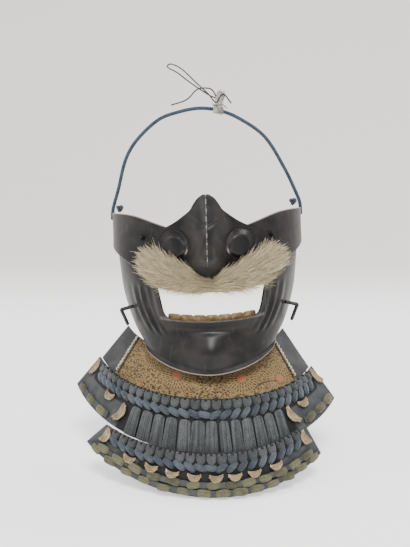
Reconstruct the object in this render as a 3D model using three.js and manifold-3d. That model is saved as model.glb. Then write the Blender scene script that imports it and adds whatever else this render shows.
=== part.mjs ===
// Samurai face guard (menpo) with its laced throat guard (yodarekake) and head cord.
// Millimetres, +Z up. The face looks towards -Y; left and right are as seen from the front.
// The origin lies midway between the ear tips, where the guard sits on the wearer's head.
import * as THREE from 'three';
import { mergeVertices } from 'three/addons/utils/BufferGeometryUtils.js';
import Module from 'manifold-3d';

const { Vector3 } = THREE;
const wasm = await Module();
wasm.setup();

// ---------- driving dimensions ----------
const GAP = 0.35; // clearance between pieces that touch
const LACE_GAP = 0.5; // the same between the lacing and its lame
const IRON = 1.6; // face and nose plate
const LEATHER = 1.8; // throat panel and flanks
const LAME = 2; // lacquered rawhide lames
const MASK_LEAN = THREE.MathUtils.degToRad(-1.8); // the mask leans a little on its throat guard

// Cross sections of the face plate, from the ear tips down to the chin rim. Each runs from the
// rear edge round the front; `full` is the exponent of its superellipse.
const FACE_SECTIONS = [
  { at: -0.25, halfWidth: 83, rearY: 2, rearZ: 22, frontY: -78, frontZ: 31, full: 1.8 },
  { at: 0, halfWidth: 82, rearY: 0, rearZ: 0, frontY: -82, frontZ: 2, full: 1.8 },
  { at: 0.22, halfWidth: 80.5, rearY: -3, rearZ: -21, frontY: -89, frontZ: -24, full: 1.9 },
  { at: 0.45, halfWidth: 77.5, rearY: -8, rearZ: -43, frontY: -95, frontZ: -50, full: 2 },
  { at: 0.66, halfWidth: 73.5, rearY: -18, rearZ: -64, frontY: -95, frontZ: -74, full: 2 },
  { at: 0.84, halfWidth: 65, rearY: -38, rearZ: -84, frontY: -99, frontZ: -95, full: 1.9 },
  { at: 1, halfWidth: 54, rearY: -60, rearZ: -95, frontY: -104, frontZ: -114, full: 1.85 },
];
// The cheek's top edge: which section height it follows, from the middle (0) to an ear tip (1).
const TOP_EDGE = [
  { at: 0, level: 0.05 },
  { at: 0.25, level: 0.01 },
  { at: 0.57, level: -0.055 },
  { at: 1, level: 0 },
];
const CHEEK_FOLD = { sideX: 82, sideZ: -27, fall: 0.3, height: 3, reach: 16, undercut: 1.6 };
const CHEEK_WRINKLES = { topX: 56, bend: 0.009, topZ: -46, bottomZ: -88, pitch: 6.5, height: 1 };
const MOUTH = { x: 2.3, top: -46, bottom: -71.5, topHalf: 45, bottomHalf: 40.5, corner: 9, lip: 1.3 };
const CHIN = { z: -97, radius: 13, height: 7.5, creaseZ: -80, creaseHalf: 22, creaseDepth: 2 };
const RIM_FLARE = 2.2;

// The nose plate, from the top of its bridge down to the moustache: half its breadth, how far its
// ridge rises over the face plate, and half the breadth of the nose itself.
const NOSE_SECTIONS = [
  { at: -0.235, halfWidth: 2, rise: 7, spread: 12 },
  { at: -0.21, halfWidth: 6, rise: 9.5, spread: 14 },
  { at: -0.17, halfWidth: 9.5, rise: 13, spread: 16 },
  { at: -0.12, halfWidth: 13, rise: 18, spread: 18 },
  { at: -0.05, halfWidth: 22, rise: 24, spread: 20 },
  { at: 0, halfWidth: 31, rise: 27, spread: 21 },
  { at: 0.06, halfWidth: 44, rise: 29, spread: 21 },
  { at: 0.16, halfWidth: 50, rise: 31, spread: 21 },
  { at: 0.22, halfWidth: 49, rise: 24, spread: 20 },
  { at: 0.29, halfWidth: 44, rise: 10, spread: 18 },
  { at: 0.35, halfWidth: 38, rise: 2, spread: 16 },
];
const NOSE_GRID = [14, 11];
const NOSTRIL = { x: 25.5, z: -12, inner: 6, outer: 12.5, height: 5 };
const NOSE_WRINKLE = { z: 7, slope: 0.3, reach: 17, depth: 1.3 };
const NOSE_PIN = { x: 51.5, z: -9, radius: 2, length: 4 };

// The moustache: the height of its middle line and half its depth, from its middle to a tip.
const MOUSTACHE_SECTIONS = [
  { at: 0, z: -42, half: 5.5 },
  { at: 0.35, z: -38.5, half: 9.5 },
  { at: 0.75, z: -33.5, half: 12 },
  { at: 1, z: -31, half: 6.5 },
];
const MOUSTACHE = { x: 2.5, reach: 56, thick: 4.5, standOff: 3.6, locks: 10, sweep: 0.24, lockRadius: 3 };
const TEETH = { count: 7, half: 37, top: -67.5, bottom: -77, notch: 1.6, thick: 1.6, inset: 2.4 };
const HOOK = { x: 65, z: -70, radius: 1.5, out: 9, drop: 13.5 };

// Edges of the throat guard: round arcs from a left end over the front to a right end, drawn out
// to fit them. `sweep` is half the angle of the arc.
const edge = (left, front, right, sweep = 66) => ({ left, front, right, sweep: THREE.MathUtils.degToRad(sweep) });
const COLLAR_TOP = edge([-69, -22, -99], [0, -78, -106], [67, -26, -100]);
const COLLAR_BOTTOM = edge([-92, -30, -126], [3, -115.5, -133], [89, -43, -130]);
const UPPER_TOP = edge([-94, -30, -125], [3, -117, -129], [91, -45, -128]);
const UPPER_BOTTOM = edge([-115, -32, -150], [5, -133, -166], [109, -66, -149]);
const LOWER_TOP = edge([-81, -108, -154.5], [5, -141, -164], [79, -110, -153], 48);
const LOWER_BOTTOM = edge([-98, -106, -170.5], [6, -151, -197], [93, -112, -178], 48);
const SEAM = { left: -0.78, right: 0.78 }; // where the stencilled panel meets the black flanks
const BRAID_WIDTH = 0.035;

// Rows of lacing on each lame, as shares of its height from the top edge.
const LACING_ROWS = {
  upper: { loops: [0.04, 0.17], braid: [0.19, 0.39], half: 0.86 },
  lower: { loops: [0.06, 0.21], braid: [0.23, 0.43], half: 0.86 },
};
const LOOP_THICK = 2;
const BRAID_THICK = 3;
const BANDS = { count: 13, half: 0.5, from: 0.42, to: 1, thick: 2.6, cover: 0.84 };
// Knots and tufts of cream lacing: where each stands on its lame, its size and its turn in degrees.
const CREAM_KNOTS = {
  upper: [
    { u: -0.93, v: 0.25, length: 15, height: 7, turn: 84 },
    { u: -0.68, v: 0.47, length: 12, height: 6, turn: 0 },
    { u: -0.56, v: 0.67, length: 17, height: 7, turn: 64 },
    { u: 0.56, v: 0.62, length: 17, height: 7, turn: -64 },
    { u: 0.68, v: 0.5, length: 12, height: 6, turn: 0 },
    { u: 0.93, v: 0.25, length: 15, height: 7, turn: -84 },
  ],
  lower: [
    { u: -0.91, v: 0.32, length: 13, height: 7, turn: 75 },
    { u: -0.64, v: 0.54, length: 11, height: 5.5, turn: 0 },
    { u: -0.46, v: 0.54, length: 11, height: 5.5, turn: 0 },
    { u: -0.3, v: 0.54, length: 11, height: 5.5, turn: 0 },
    { u: -0.14, v: 0.54, length: 11, height: 5.5, turn: 0 },
    { u: 0.02, v: 0.54, length: 11, height: 5.5, turn: 0 },
    { u: 0.18, v: 0.54, length: 11, height: 5.5, turn: 0 },
    { u: 0.35, v: 0.54, length: 11, height: 5.5, turn: 0 },
    { u: 0.55, v: 0.54, length: 11, height: 5.5, turn: 0 },
    { u: 0.91, v: 0.3, length: 13, height: 7, turn: -75 },
  ],
};
const KNOT_THICK = 4;
// Strips of ground cloth with olive pads: each runs along u at a height v.
const PAD = { length: 10, height: 5.6, thick: 2.6, ground: 1.2, strip: 0.068 };
const PAD_STRIPS = {
  pads_upper_left: { lame: 'upper', rows: [{ v: 0.86, from: -0.97, to: -0.64, count: 3 }] },
  pads_upper_right: { lame: 'upper', rows: [{ v: 0.84, from: 0.64, to: 0.97, count: 3 }] },
  pads_lower_first: { lame: 'lower', rows: [{ v: 0.72, from: -0.93, to: 0.93, count: 13 }] },
  pads_lower_second: { lame: 'lower', rows: [{ v: 0.9, from: -0.97, to: 0.97, count: 14 }] },
};

// The head cord: a round cord from ear to ear over the wearer's head, chosen point by point.
const CORD = { radius: 1.6, sides: 8, steps: 40 };
const CORD_ROUTE = [
  [-83, 2.6, -9],
  [-82, 2.4, 1],
  [-77, 1, 18],
  [-70, 0, 44],
  [-60, 0, 61],
  [-41, 0, 78.5],
  [-22, 0, 85.5],
  [-5, 0, 88.2],
  [12, 0, 86],
  [29, 0, 79],
  [50, 0, 64],
  [67, 0, 38],
  [78, 0, 16],
  [82, 2.4, 6],
  [83, 2.6, -4],
];
const CORD_KNOTS = { left: [-76, 0, 1.5], right: [75.5, -1, 8], radius: 3.4 };
// The dark wire that hangs the guard up: a tail, the long narrow loop, and the other tail.
const WIRE = { radius: 0.6, sides: 6, steps: 46 };
const WIRE_ROUTE = [
  [-30, -2, 91],
  [-17, -2, 95.5],
  [-8, -2, 104],
  [0, 1, 105],
  [5, 5, 103],
  [8, 6.2, 97],
  [3, 5, 98.5],
  [-13, 1, 109],
  [-25, 0, 118],
  [-33, 0, 122.5],
  [-30, -1.5, 125],
  [-21, -3, 121],
  [-9, -4, 110],
  [1.5, -5, 100.5],
  [8, -6.2, 93.5],
  [12, -6, 99],
  [15, -4, 100],
  [21, -2, 92.5],
];
// The twine that binds wire and cord: a collar round the cord and a knotted bundle above it.
const TIE = { x: 10, z: 86.5, lean: 9, collarRadius: 4.4, collarLength: 9, bundleHeight: 19 };

// ---------- finishes ----------
const finish = (color, roughness, metalness = 0) =>
  new THREE.MeshStandardMaterial({ color, roughness, metalness });
const FINISH = {
  lacquer: () => finish(0x24221f, 0.38, 0.3),
  iron: () => finish(0x161617, 0.5, 0.6),
  hair: () => finish(0xd8cfb4, 0.9),
  gilt: () => finish(0xb08a4c, 0.45, 0.4),
  stencilled: () => finish(0xa5814c, 0.8),
  blackLeather: () => finish(0x1b1c1e, 0.6),
  cream: () => finish(0xd6c6ad, 0.9),
  greyBraid: () => finish(0x47505a, 0.85),
  blueBraid: () => finish(0x3b4c61, 0.85),
  olive: () => finish(0x6a6642, 0.9),
  blueCord: () => finish(0x2f4257, 0.85),
  twine: () => finish(0xa9a49a, 0.9),
};

// ---------- small helpers ----------
const { clamp, lerp, smoothstep } = THREE.MathUtils;
const hill = (distance, reach) => Math.exp(-((distance / reach) ** 2));

/** A smooth value between the rows of a table, read along its `at` column. */
function read(rows, column, at) {
  const last = rows.length - 1;
  let k = rows.findIndex((row) => row.at > at) - 1;
  if (k < 0) k = at < rows[0].at ? 0 : last - 1;
  const slope = (a, b) => (rows[b][column] - rows[a][column]) / (rows[b].at - rows[a].at);
  const span = rows[k + 1].at - rows[k].at;
  const t = clamp((at - rows[k].at) / span, 0, 1);
  const leave = slope(Math.max(k - 1, 0), k + 1) * span;
  const arrive = slope(k, Math.min(k + 2, last)) * span;
  const rise = rows[k + 1][column] - rows[k][column];
  const bow = t * (1 - t) * ((1 - t) * (leave - rise) - t * (arrive - rise));
  return rows[k][column] + rise * t + bow;
}

/** The outward unit normal of a surface whose u runs to the right and whose v runs down. */
function normalAt(surface, u, v) {
  const step = 1e-3;
  const [u0, u1] = [Math.max(u - step, -1), Math.min(u + step, 1)];
  const across = surface(u1, v).sub(surface(u0, v));
  const down = surface(u, v + step).sub(surface(u, v - step));
  return down.cross(across).normalize();
}

/** The same surface, moved out by `lift` along its normals. */
const lifted = (surface, lift) => (u, v) =>
  surface(u, v).addScaledVector(normalAt(surface, u, v), lift);

/** A closed plate: `outline(a, b)` is its outer face for a and b from 0 to 1, and `depth` its thickness. */
function plate(outline, columns, rows, depth) {
  const points = [];
  const index = [];
  const wide = columns + 1;
  const count = wide * (rows + 1);
  for (const face of [(a, b) => outline(a, b, 0), (a, b) => outline(a, b, depth)]) {
    for (let j = 0; j <= rows; j++) {
      for (let i = 0; i <= columns; i++) points.push(...face(i / columns, j / rows).toArray());
    }
  }
  const quad = (a, b, c, d) => index.push(a, b, c, a, c, d);
  const at = (i, j) => j * wide + i;
  for (let j = 0; j < rows; j++) {
    for (let i = 0; i < columns; i++) {
      const corners = [at(i, j), at(i, j + 1), at(i + 1, j + 1), at(i + 1, j)];
      quad(...corners);
      quad(...corners.map((k) => k + count).reverse());
    }
  }
  const rim = [];
  for (let i = 0; i < columns; i++) rim.push(at(i, 0));
  for (let j = 0; j < rows; j++) rim.push(at(columns, j));
  for (let i = columns; i > 0; i--) rim.push(at(i, rows));
  for (let j = rows; j > 0; j--) rim.push(at(0, j));
  rim.forEach((k, n) => {
    const next = rim[(n + 1) % rim.length];
    quad(k, next, next + count, k + count);
  });
  const geometry = new THREE.BufferGeometry();
  geometry.setAttribute('position', new THREE.Float32BufferAttribute(points, 3));
  geometry.setIndex(index);
  geometry.computeVertexNormals();
  return geometry;
}

/** A closed plate over a window of a surface, `lift` above it at its outer face. */
function patch(surface, { u, v, lift = 0, depth, columns, rows }) {
  const outline = (a, b, into) => {
    const [pu, pv] = [lerp(u[0], u[1], a), lerp(v[0], v[1], b)];
    return surface(pu, pv).addScaledVector(normalAt(surface, pu, pv), lift - into);
  };
  return plate(outline, columns, rows, depth);
}

/** A rod of round section along a smooth path through points. */
function rod(points, { radius, sides, steps }) {
  const ring = Array.from({ length: sides }, (_, k) => {
    const turn = (2 * Math.PI * k) / sides;
    return new THREE.Vector2(radius * Math.cos(turn), radius * Math.sin(turn));
  });
  const route = points.map((point) => (Array.isArray(point) ? new Vector3(...point) : point));
  const extrudePath = new THREE.CatmullRomCurve3(route, false, 'centripetal');
  return new THREE.ExtrudeGeometry(new THREE.Shape(ring), { steps, extrudePath, bevelEnabled: false });
}

/** A geometry as a solid of the joining and cutting library. */
function solid(geometry) {
  const bare = new THREE.BufferGeometry();
  bare.setAttribute('position', geometry.getAttribute('position'));
  bare.setIndex(geometry.getIndex());
  const merged = mergeVertices(bare, 1e-4);
  const vertProperties = new Float32Array(merged.getAttribute('position').array);
  const triVerts = new Uint32Array(merged.getIndex().array);
  return new wasm.Manifold(new wasm.Mesh({ numProp: 3, vertProperties, triVerts }));
}

/** The geometry of a solid that was joined or cut. */
function shapeOf(body) {
  const { vertProperties, triVerts } = body.getMesh();
  const geometry = new THREE.BufferGeometry();
  geometry.setAttribute('position', new THREE.BufferAttribute(vertProperties, 3));
  geometry.setIndex(new THREE.BufferAttribute(triVerts, 1));
  geometry.computeVertexNormals();
  return geometry;
}

const join = (geometries) => shapeOf(geometries.map(solid).reduce((whole, one) => whole.add(one)));

/** A matrix that stands a piece on a surface: its X runs along u, its Z out along the normal. */
function standOn(surface, u, v, lift, turn = 0) {
  const step = 1e-3;
  const out = normalAt(surface, u, v);
  const along = surface(u + step, v).sub(surface(u - step, v)).projectOnPlane(out).normalize();
  const up = new Vector3().crossVectors(out, along);
  const place = new THREE.Matrix4().makeBasis(along, up, out);
  place.setPosition(surface(u, v).addScaledVector(out, lift));
  return place.multiply(new THREE.Matrix4().makeRotationZ(turn));
}

/** A low cushion with a flat back: `length` by `height`, rising to `thick`. */
function cushion(length, height, thick, sides = 8) {
  const profile = [
    [0, 0],
    [0.5, 0],
    [0.4, 0.75],
    [0, 1],
  ];
  const points = profile.map(([r, h]) => new THREE.Vector2(r, h));
  return new THREE.LatheGeometry(points, sides).rotateX(Math.PI / 2).scale(length, height, thick);
}

// ---------- the face ----------
/** The face before its relief: u from one rear edge (-1) to the other (1), level down the front. */
function faceBase(u, level) {
  const row = (column) => read(FACE_SECTIONS, column, level);
  const turn = (clamp(u, -1, 1) * Math.PI) / 2;
  const power = 2 / row('full');
  const forward = Math.max(Math.cos(turn), 0) ** power;
  const side = Math.sign(u) * Math.abs(Math.sin(turn)) ** power;
  return new Vector3(
    row('halfWidth') * side,
    lerp(row('rearY'), row('frontY'), forward),
    lerp(row('rearZ'), row('frontZ'), forward),
  );
}

/** The u at which the section at `level` reaches x. */
function faceU(x, level) {
  const power = 2 / read(FACE_SECTIONS, 'full', level);
  const side = Math.min(Math.abs(x) / read(FACE_SECTIONS, 'halfWidth', level), 1);
  return (Math.sign(x) * Math.asin(side ** (1 / power)) * 2) / Math.PI;
}

/** The u and level of the face at a place seen from the front. */
function faceSpot(x, z) {
  let level = 0.5;
  for (let pass = 0; pass < 12; pass++) {
    level = clamp(level + (faceBase(faceU(x, level), level).z - z) / 125, -0.25, 1);
  }
  return [faceU(x, level), level];
}

/** How far the hammered relief stands out from the plain face at a place seen from the front. */
function faceRelief(x, z, level) {
  const side = Math.abs(x);
  const fold = CHEEK_FOLD;
  const above = z - (fold.sideZ - (fold.sideX - side) * fold.fall);
  const over = smoothstep(above, -1.5, 1.5);
  const cheek =
    over * fold.height * Math.exp(-Math.max(above, 0) / fold.reach) -
    (1 - over) * fold.undercut * Math.exp(Math.min(above, 0) / fold.reach);
  const wrinkle = CHEEK_WRINKLES;
  const beside = side - (wrinkle.topX - wrinkle.bend * Math.max(-z - 46, 0) ** 2);
  const along = smoothstep(-z, -wrinkle.topZ, -wrinkle.topZ + 8) * smoothstep(z, wrinkle.bottomZ, wrinkle.bottomZ + 12);
  const folds = wrinkle.height * Math.cos((2 * Math.PI * beside) / wrinkle.pitch) * hill(beside, 8) * along;
  const chin = CHIN.height * hill(Math.hypot(x, z - CHIN.z), CHIN.radius);
  const crease = -CHIN.creaseDepth * hill(z - CHIN.creaseZ, 3) * hill(x, CHIN.creaseHalf);
  const rim = RIM_FLARE * smoothstep(level, 0.955, 1);
  return cheek * smoothstep(side, 30, 50) + folds + chin + crease + rim + lipRelief(x, z);
}

/** The raised lip round the mouth. */
function lipRelief(x, z) {
  const share = clamp((MOUTH.top - z) / (MOUTH.top - MOUTH.bottom), 0, 1);
  const half = lerp(MOUTH.topHalf, MOUTH.bottomHalf, share);
  const outX = Math.max(Math.abs(x - MOUTH.x) - half, 0);
  const outZ = Math.max(z - MOUTH.top, MOUTH.bottom - z, 0);
  return MOUTH.lip * hill(Math.hypot(outX, outZ), 4);
}

function face(u, level) {
  const base = faceBase(u, level);
  const out = normalAt(faceBase, u, level);
  return base.clone().addScaledVector(out, faceRelief(base.x, base.z, level));
}

/** The face plate's own window: v from its curved top edge (0) down to the chin rim (1). */
const faceLevel = (u, v) => lerp(read(TOP_EDGE, 'level', Math.abs(u)), 1, v);

function mouthCutter() {
  const { x, top, bottom, topHalf, bottomHalf, corner } = MOUTH;
  const shape = new THREE.Shape();
  shape.moveTo(x - topHalf, top);
  shape.lineTo(x - bottomHalf, bottom + corner);
  shape.quadraticCurveTo(x - bottomHalf, bottom, x - bottomHalf + corner, bottom);
  shape.lineTo(x + bottomHalf - corner, bottom);
  shape.quadraticCurveTo(x + bottomHalf, bottom, x + bottomHalf, bottom + corner);
  shape.lineTo(x + topHalf, top);
  shape.closePath();
  const options = { depth: 60, curveSegments: 4, bevelEnabled: false };
  return new THREE.ExtrudeGeometry(shape, options).rotateX(Math.PI / 2).translate(0, -58, 0);
}

function facePlate() {
  const outline = (a, b, into) => {
    const u = lerp(-1, 1, a);
    const level = faceLevel(u, b);
    return face(u, level).addScaledVector(normalAt(faceBase, u, level), -into);
  };
  return shapeOf(solid(plate(outline, 26, 16, IRON)).subtract(solid(mouthCutter())));
}

/** The nose plate's outer face: a from one side (0) to the other (1), b down the ridge. */
function nose(a, b, into) {
  const level = lerp(NOSE_SECTIONS[0].at, NOSE_SECTIONS.at(-1).at, b);
  const x = read(NOSE_SECTIONS, 'halfWidth', level) * lerp(-1, 1, a);
  const u = faceU(x, level);
  const base = faceBase(u, level);
  const out = normalAt(faceBase, u, level);
  const cheek = Math.max(faceRelief(base.x, base.z, level), 0);
  const across = clamp(Math.abs(x) / read(NOSE_SECTIONS, 'spread', level), 0, 1);
  const ridge = read(NOSE_SECTIONS, 'rise', level) * (1 - across ** 1.6) ** 1.7;
  const far = Math.hypot(Math.abs(x) - NOSTRIL.x, base.z - NOSTRIL.z);
  const wing = NOSTRIL.height * (1 - smoothstep(far, NOSTRIL.inner, NOSTRIL.outer));
  const bend = base.z - NOSE_WRINKLE.z - NOSE_WRINKLE.slope * Math.abs(x);
  const wrinkle = NOSE_WRINKLE.depth * hill(bend, 1.6) * hill(x, NOSE_WRINKLE.reach);
  base.y -= ridge + wing - wrinkle;
  return base.addScaledVector(out, cheek + GAP + IRON - into);
}

function nosePin() {
  const { radius, length } = NOSE_PIN;
  return new THREE.CylinderGeometry(radius, radius * 1.2, length, 10).rotateX(Math.PI / 2).translate(0, 0, length / 2);
}

/** A place on the moustache: t from one tip (-1) to the other (1), row from its lower edge to its upper. */
function moustacheSpot(t, row) {
  const z = read(MOUSTACHE_SECTIONS, 'z', Math.abs(t));
  return faceSpot(MOUSTACHE.x + MOUSTACHE.reach * t, z + row * read(MOUSTACHE_SECTIONS, 'half', Math.abs(t)));
}

function moustacheBacking() {
  const outline = (a, b, into) => {
    const t = lerp(-1, 1, a);
    const round = Math.sqrt(Math.max(1 - (2 * b - 1) ** 2, 0.04)) * (1 - 0.5 * t ** 6);
    const lift = into ? 0 : MOUSTACHE.thick * round;
    return lifted(face, MOUSTACHE.standOff + lift)(...moustacheSpot(t, lerp(1, -1, b)));
  };
  return plate(outline, 14, 3, 1);
}

/** One lock of hair: a tapered spike that leaves the backing and sweeps outwards. */
function lock(t, row) {
  const way = Math.sign(t) || 1;
  const root = lifted(face, MOUSTACHE.standOff + 2.4)(...moustacheSpot(t, row * 0.5));
  const tip = lifted(face, MOUSTACHE.standOff + 1.8)(...moustacheSpot(t + way * MOUSTACHE.sweep, row * 1.2));
  const length = root.distanceTo(tip);
  const lean = new THREE.Quaternion().setFromUnitVectors(new Vector3(0, 1, 0), tip.clone().sub(root).normalize());
  const spike = new THREE.ConeGeometry(MOUSTACHE.lockRadius, length, 4, 1).translate(0, length / 2, 0);
  return spike.applyQuaternion(lean).translate(...root.toArray());
}

function moustache() {
  const { locks } = MOUSTACHE;
  const roots = Array.from({ length: locks }, (_, k) => lerp(-0.84, 0.84, k / (locks - 1)));
  const hair = join([moustacheBacking(), ...roots.flatMap((t) => [lock(t, -1), lock(t, 1)])]);
  const underNose = plate((a, b, into) => nose(a, b, into ? 12 : -GAP), NOSE_GRID[0], NOSE_GRID[1], 1);
  return largest(solid(hair).subtract(solid(underNose)));
}

/** The largest body that a cut leaves. */
function largest(body) {
  const bodies = body.decompose().sort((one, other) => other.volume() - one.volume());
  return shapeOf(bodies[0]);
}

function lowerTeeth() {
  const { count, half, top, bottom, notch, thick, inset } = TEETH;
  const outline = (a, b, into) => {
    const x = MOUTH.x + lerp(-half, half, a);
    const onNotch = Math.abs(((a * count) % 1) - 0.5) > 0.45 ? 1 : 0;
    const z = lerp(top - notch * onNotch, bottom, b);
    return lifted(faceBase, -inset - into)(...faceSpot(x, z));
  };
  return plate(outline, count * 4, 1, thick);
}

function cordHook(way) {
  const spot = faceSpot(way * HOOK.x, HOOK.z);
  const out = normalAt(face, ...spot);
  const root = lifted(face, GAP)(...spot);
  const away = new Vector3(out.x, out.y * 0.4, -0.2).normalize();
  const elbow = root.clone().addScaledVector(away, HOOK.out);
  const near = root.clone().addScaledVector(away, HOOK.out - 2.5);
  const below = elbow.clone().add(new Vector3(-way * 0.9, 0, -2.5));
  const tip = elbow.clone().add(new Vector3(-way * 5, 0, -HOOK.drop));
  return rod([root, near, elbow, below, tip], { radius: HOOK.radius, sides: 8, steps: 9 });
}

// ---------- the throat guard ----------
/** A point of an edge arc: u from its left end (-1) round the front (0) to its right end (1). */
function edgePoint({ left, front, right, sweep }, u) {
  const end = u < 0 ? left : right;
  const turn = Math.abs(clamp(u, -1, 1)) * sweep;
  const forward = (Math.cos(turn) - Math.cos(sweep)) / (1 - Math.cos(sweep));
  const side = Math.sin(turn) / Math.sin(sweep);
  return new Vector3(
    lerp(front[0], end[0], side),
    lerp(end[1], front[1], forward),
    lerp(end[2], front[2], forward),
  );
}

/** The ruled surface between two edges. */
const between = (top, bottom) => (u, v) => edgePoint(top, u).lerp(edgePoint(bottom, u), v);

const collar = between(COLLAR_TOP, COLLAR_BOTTOM);
const upperLame = between(UPPER_TOP, UPPER_BOTTOM);
const lowerLame = between(LOWER_TOP, LOWER_BOTTOM);

/** A row of lacing that runs along a lame. */
function lacingRow(surface, [from, to], half, thick) {
  const size = { u: [-half, half], v: [from, to], lift: LACE_GAP + thick, depth: thick };
  return patch(surface, { ...size, columns: 24, rows: 1 });
}

/** One of the long upright bands of lacing that carry the lower lame. */
function kebikiBand(k) {
  const { count, half, from, to, thick, cover } = BANDS;
  const pitch = (2 * half) / count;
  const middle = -half + pitch * (k + 0.5);
  const width = (pitch * cover) / 2;
  const outline = (a, b, into) => {
    const bulge = 0.55 + 0.45 * Math.sin(Math.PI * a);
    const lift = LACE_GAP + (into ? 0 : thick * bulge);
    return lifted(upperLame, lift)(middle + lerp(-width, width, a), lerp(from, to, b));
  };
  return plate(outline, 4, 2, 1);
}

function creamKnot(surface, { u, v, length, height, turn }) {
  const place = standOn(surface, u, v, LACE_GAP + 0.2, THREE.MathUtils.degToRad(turn));
  return cushion(length, height, KNOT_THICK, 8).applyMatrix4(place);
}

/** Strips of ground cloth with olive pads sewn on, as one piece. */
function padStrip(surface, rows) {
  const { length, height, thick, ground, strip } = PAD;
  const pieces = rows.flatMap(({ v, from, to, count }) => {
    const size = { u: [from, to], v: [v - strip, v + strip], lift: LACE_GAP + ground, depth: ground };
    const pads = Array.from({ length: count }, (_, k) => {
      const place = standOn(surface, lerp(from, to, (k + 0.5) / count), v, LACE_GAP + ground * 0.5);
      return cushion(length, height, thick, 5).applyMatrix4(place);
    });
    return [patch(surface, { ...size, columns: Math.round((to - from) * 12), rows: 1 }), ...pads];
  });
  return join(pieces);
}

// ---------- cord, wire and binding ----------
/** The twine binding, with the cord and the wire running clear through it. */
function cordTie() {
  const { x, z, lean, collarRadius, collarLength, bundleHeight } = TIE;
  const collar = new THREE.CylinderGeometry(collarRadius, collarRadius, collarLength, 10);
  collar.rotateZ(Math.PI / 2);
  const outline = [
    [0, 0],
    [3.4, 1.5],
    [4.2, 5],
    [2.4, 10],
    [3.3, 14],
    [1.6, 17],
    [0, bundleHeight],
  ].map((point) => new THREE.Vector2(...point));
  const bundle = new THREE.LatheGeometry(outline, 10).rotateX(Math.PI / 2).translate(0, 0, 1);
  const clear = (radius, part) => solid(rod(part.route, { ...part.size, radius: radius + GAP }));
  const twine = solid(join([collar, bundle].map((piece) =>
    piece.rotateY(THREE.MathUtils.degToRad(lean)).translate(x, 0, z))));
  const cord = clear(CORD.radius, { route: CORD_ROUTE, size: CORD });
  const wire = clear(WIRE.radius, { route: WIRE_ROUTE, size: WIRE });
  return shapeOf(twine.subtract(cord).subtract(wire));
}

// ---------- assembly ----------
const guard = new THREE.Group();
const mask = new THREE.Group();
mask.rotation.y = MASK_LEAN;
guard.add(mask);

function addTo(group, name, geometry, material) {
  const mesh = new THREE.Mesh(geometry, material);
  mesh.name = name;
  group.add(mesh);
  return mesh;
}
const sides = [['left', -1], ['right', 1]];

addTo(mask, 'face_plate', facePlate(), FINISH.lacquer());
addTo(mask, 'nose_plate', plate(nose, ...NOSE_GRID, IRON), FINISH.lacquer());
addTo(mask, 'moustache', moustache(), FINISH.hair());
addTo(mask, 'lower_teeth', lowerTeeth(), FINISH.gilt());
for (const [side, way] of sides) {
  const pin = addTo(mask, `nose_pin_${side}`, nosePin(), FINISH.iron());
  const spot = faceSpot(way * NOSE_PIN.x, NOSE_PIN.z);
  pin.applyMatrix4(standOn(face, ...spot, GAP + 0.1));
  addTo(mask, `cord_hook_${side}`, cordHook(way), FINISH.iron());
}

addTo(guard, 'throat_panel', patch(collar, {
  u: [SEAM.left, SEAM.right], v: [0, 1], depth: LEATHER, columns: 18, rows: 2,
}), FINISH.stencilled());
for (const [side, way] of sides) {
  const seam = way * SEAM.right;
  const outer = [seam + way * 0.006, way].sort((a, b) => a - b);
  addTo(guard, `throat_flank_${side}`, patch(collar, {
    u: outer, v: [0, 1], depth: LEATHER, columns: 4, rows: 2,
  }), FINISH.blackLeather());
  const braid = [seam - way * BRAID_WIDTH, seam].sort((a, b) => a - b);
  addTo(guard, `edge_braid_${side}`, patch(collar, {
    u: braid, v: [0.02, 0.9], lift: GAP + 1.6, depth: 1.6, columns: 2, rows: 5,
  }), FINISH.cream());
}

for (const [name, surface] of [['upper', upperLame], ['lower', lowerLame]]) {
  const { loops, braid, half } = LACING_ROWS[name];
  addTo(guard, `lame_${name}`, patch(surface, {
    u: [-1, 1], v: [0, 1], depth: LAME, columns: 24, rows: 2,
  }), FINISH.lacquer());
  addTo(guard, `loops_${name}`, lacingRow(surface, loops, half, LOOP_THICK), FINISH.greyBraid());
  addTo(guard, `braid_${name}`, lacingRow(surface, braid, half, BRAID_THICK), FINISH.blueBraid());
  CREAM_KNOTS[name].forEach((knot, k) => {
    addTo(guard, `cream_knot_${name}_${k + 1}`, creamKnot(surface, knot), FINISH.cream());
  });
}
for (const [name, { lame, rows }] of Object.entries(PAD_STRIPS)) {
  const surface = lame === 'upper' ? upperLame : lowerLame;
  addTo(guard, name, padStrip(surface, rows), FINISH.olive());
}
for (let k = 0; k < BANDS.count; k++) {
  addTo(guard, `kebiki_band_${k + 1}`, kebikiBand(k), FINISH.greyBraid());
}

addTo(guard, 'head_cord', rod(CORD_ROUTE, CORD), FINISH.blueCord());
for (const [side] of sides) {
  const knot = new THREE.SphereGeometry(CORD_KNOTS.radius, 8, 6);
  addTo(guard, `cord_knot_${side}`, knot, FINISH.blueCord()).position.set(...CORD_KNOTS[side]);
}
addTo(guard, 'hanger_wire', rod(WIRE_ROUTE, WIRE), FINISH.iron());
addTo(guard, 'cord_tie', cordTie(), FINISH.twine());

export default guard;
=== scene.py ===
"""Dresses the samurai face guard: lacquered mask, stencilled collar, laced lames and head cord.

Sizes are millimetres, +Z up, the face towards -Y; `MM` turns them to metres when a mesh is made.
"""
import functools
import logging
import math
from dataclasses import dataclass
from enum import Enum
from typing import Callable, Iterable, Sequence

import bmesh
import bpy
import numpy as np
from mathutils import Matrix, Vector


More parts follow.
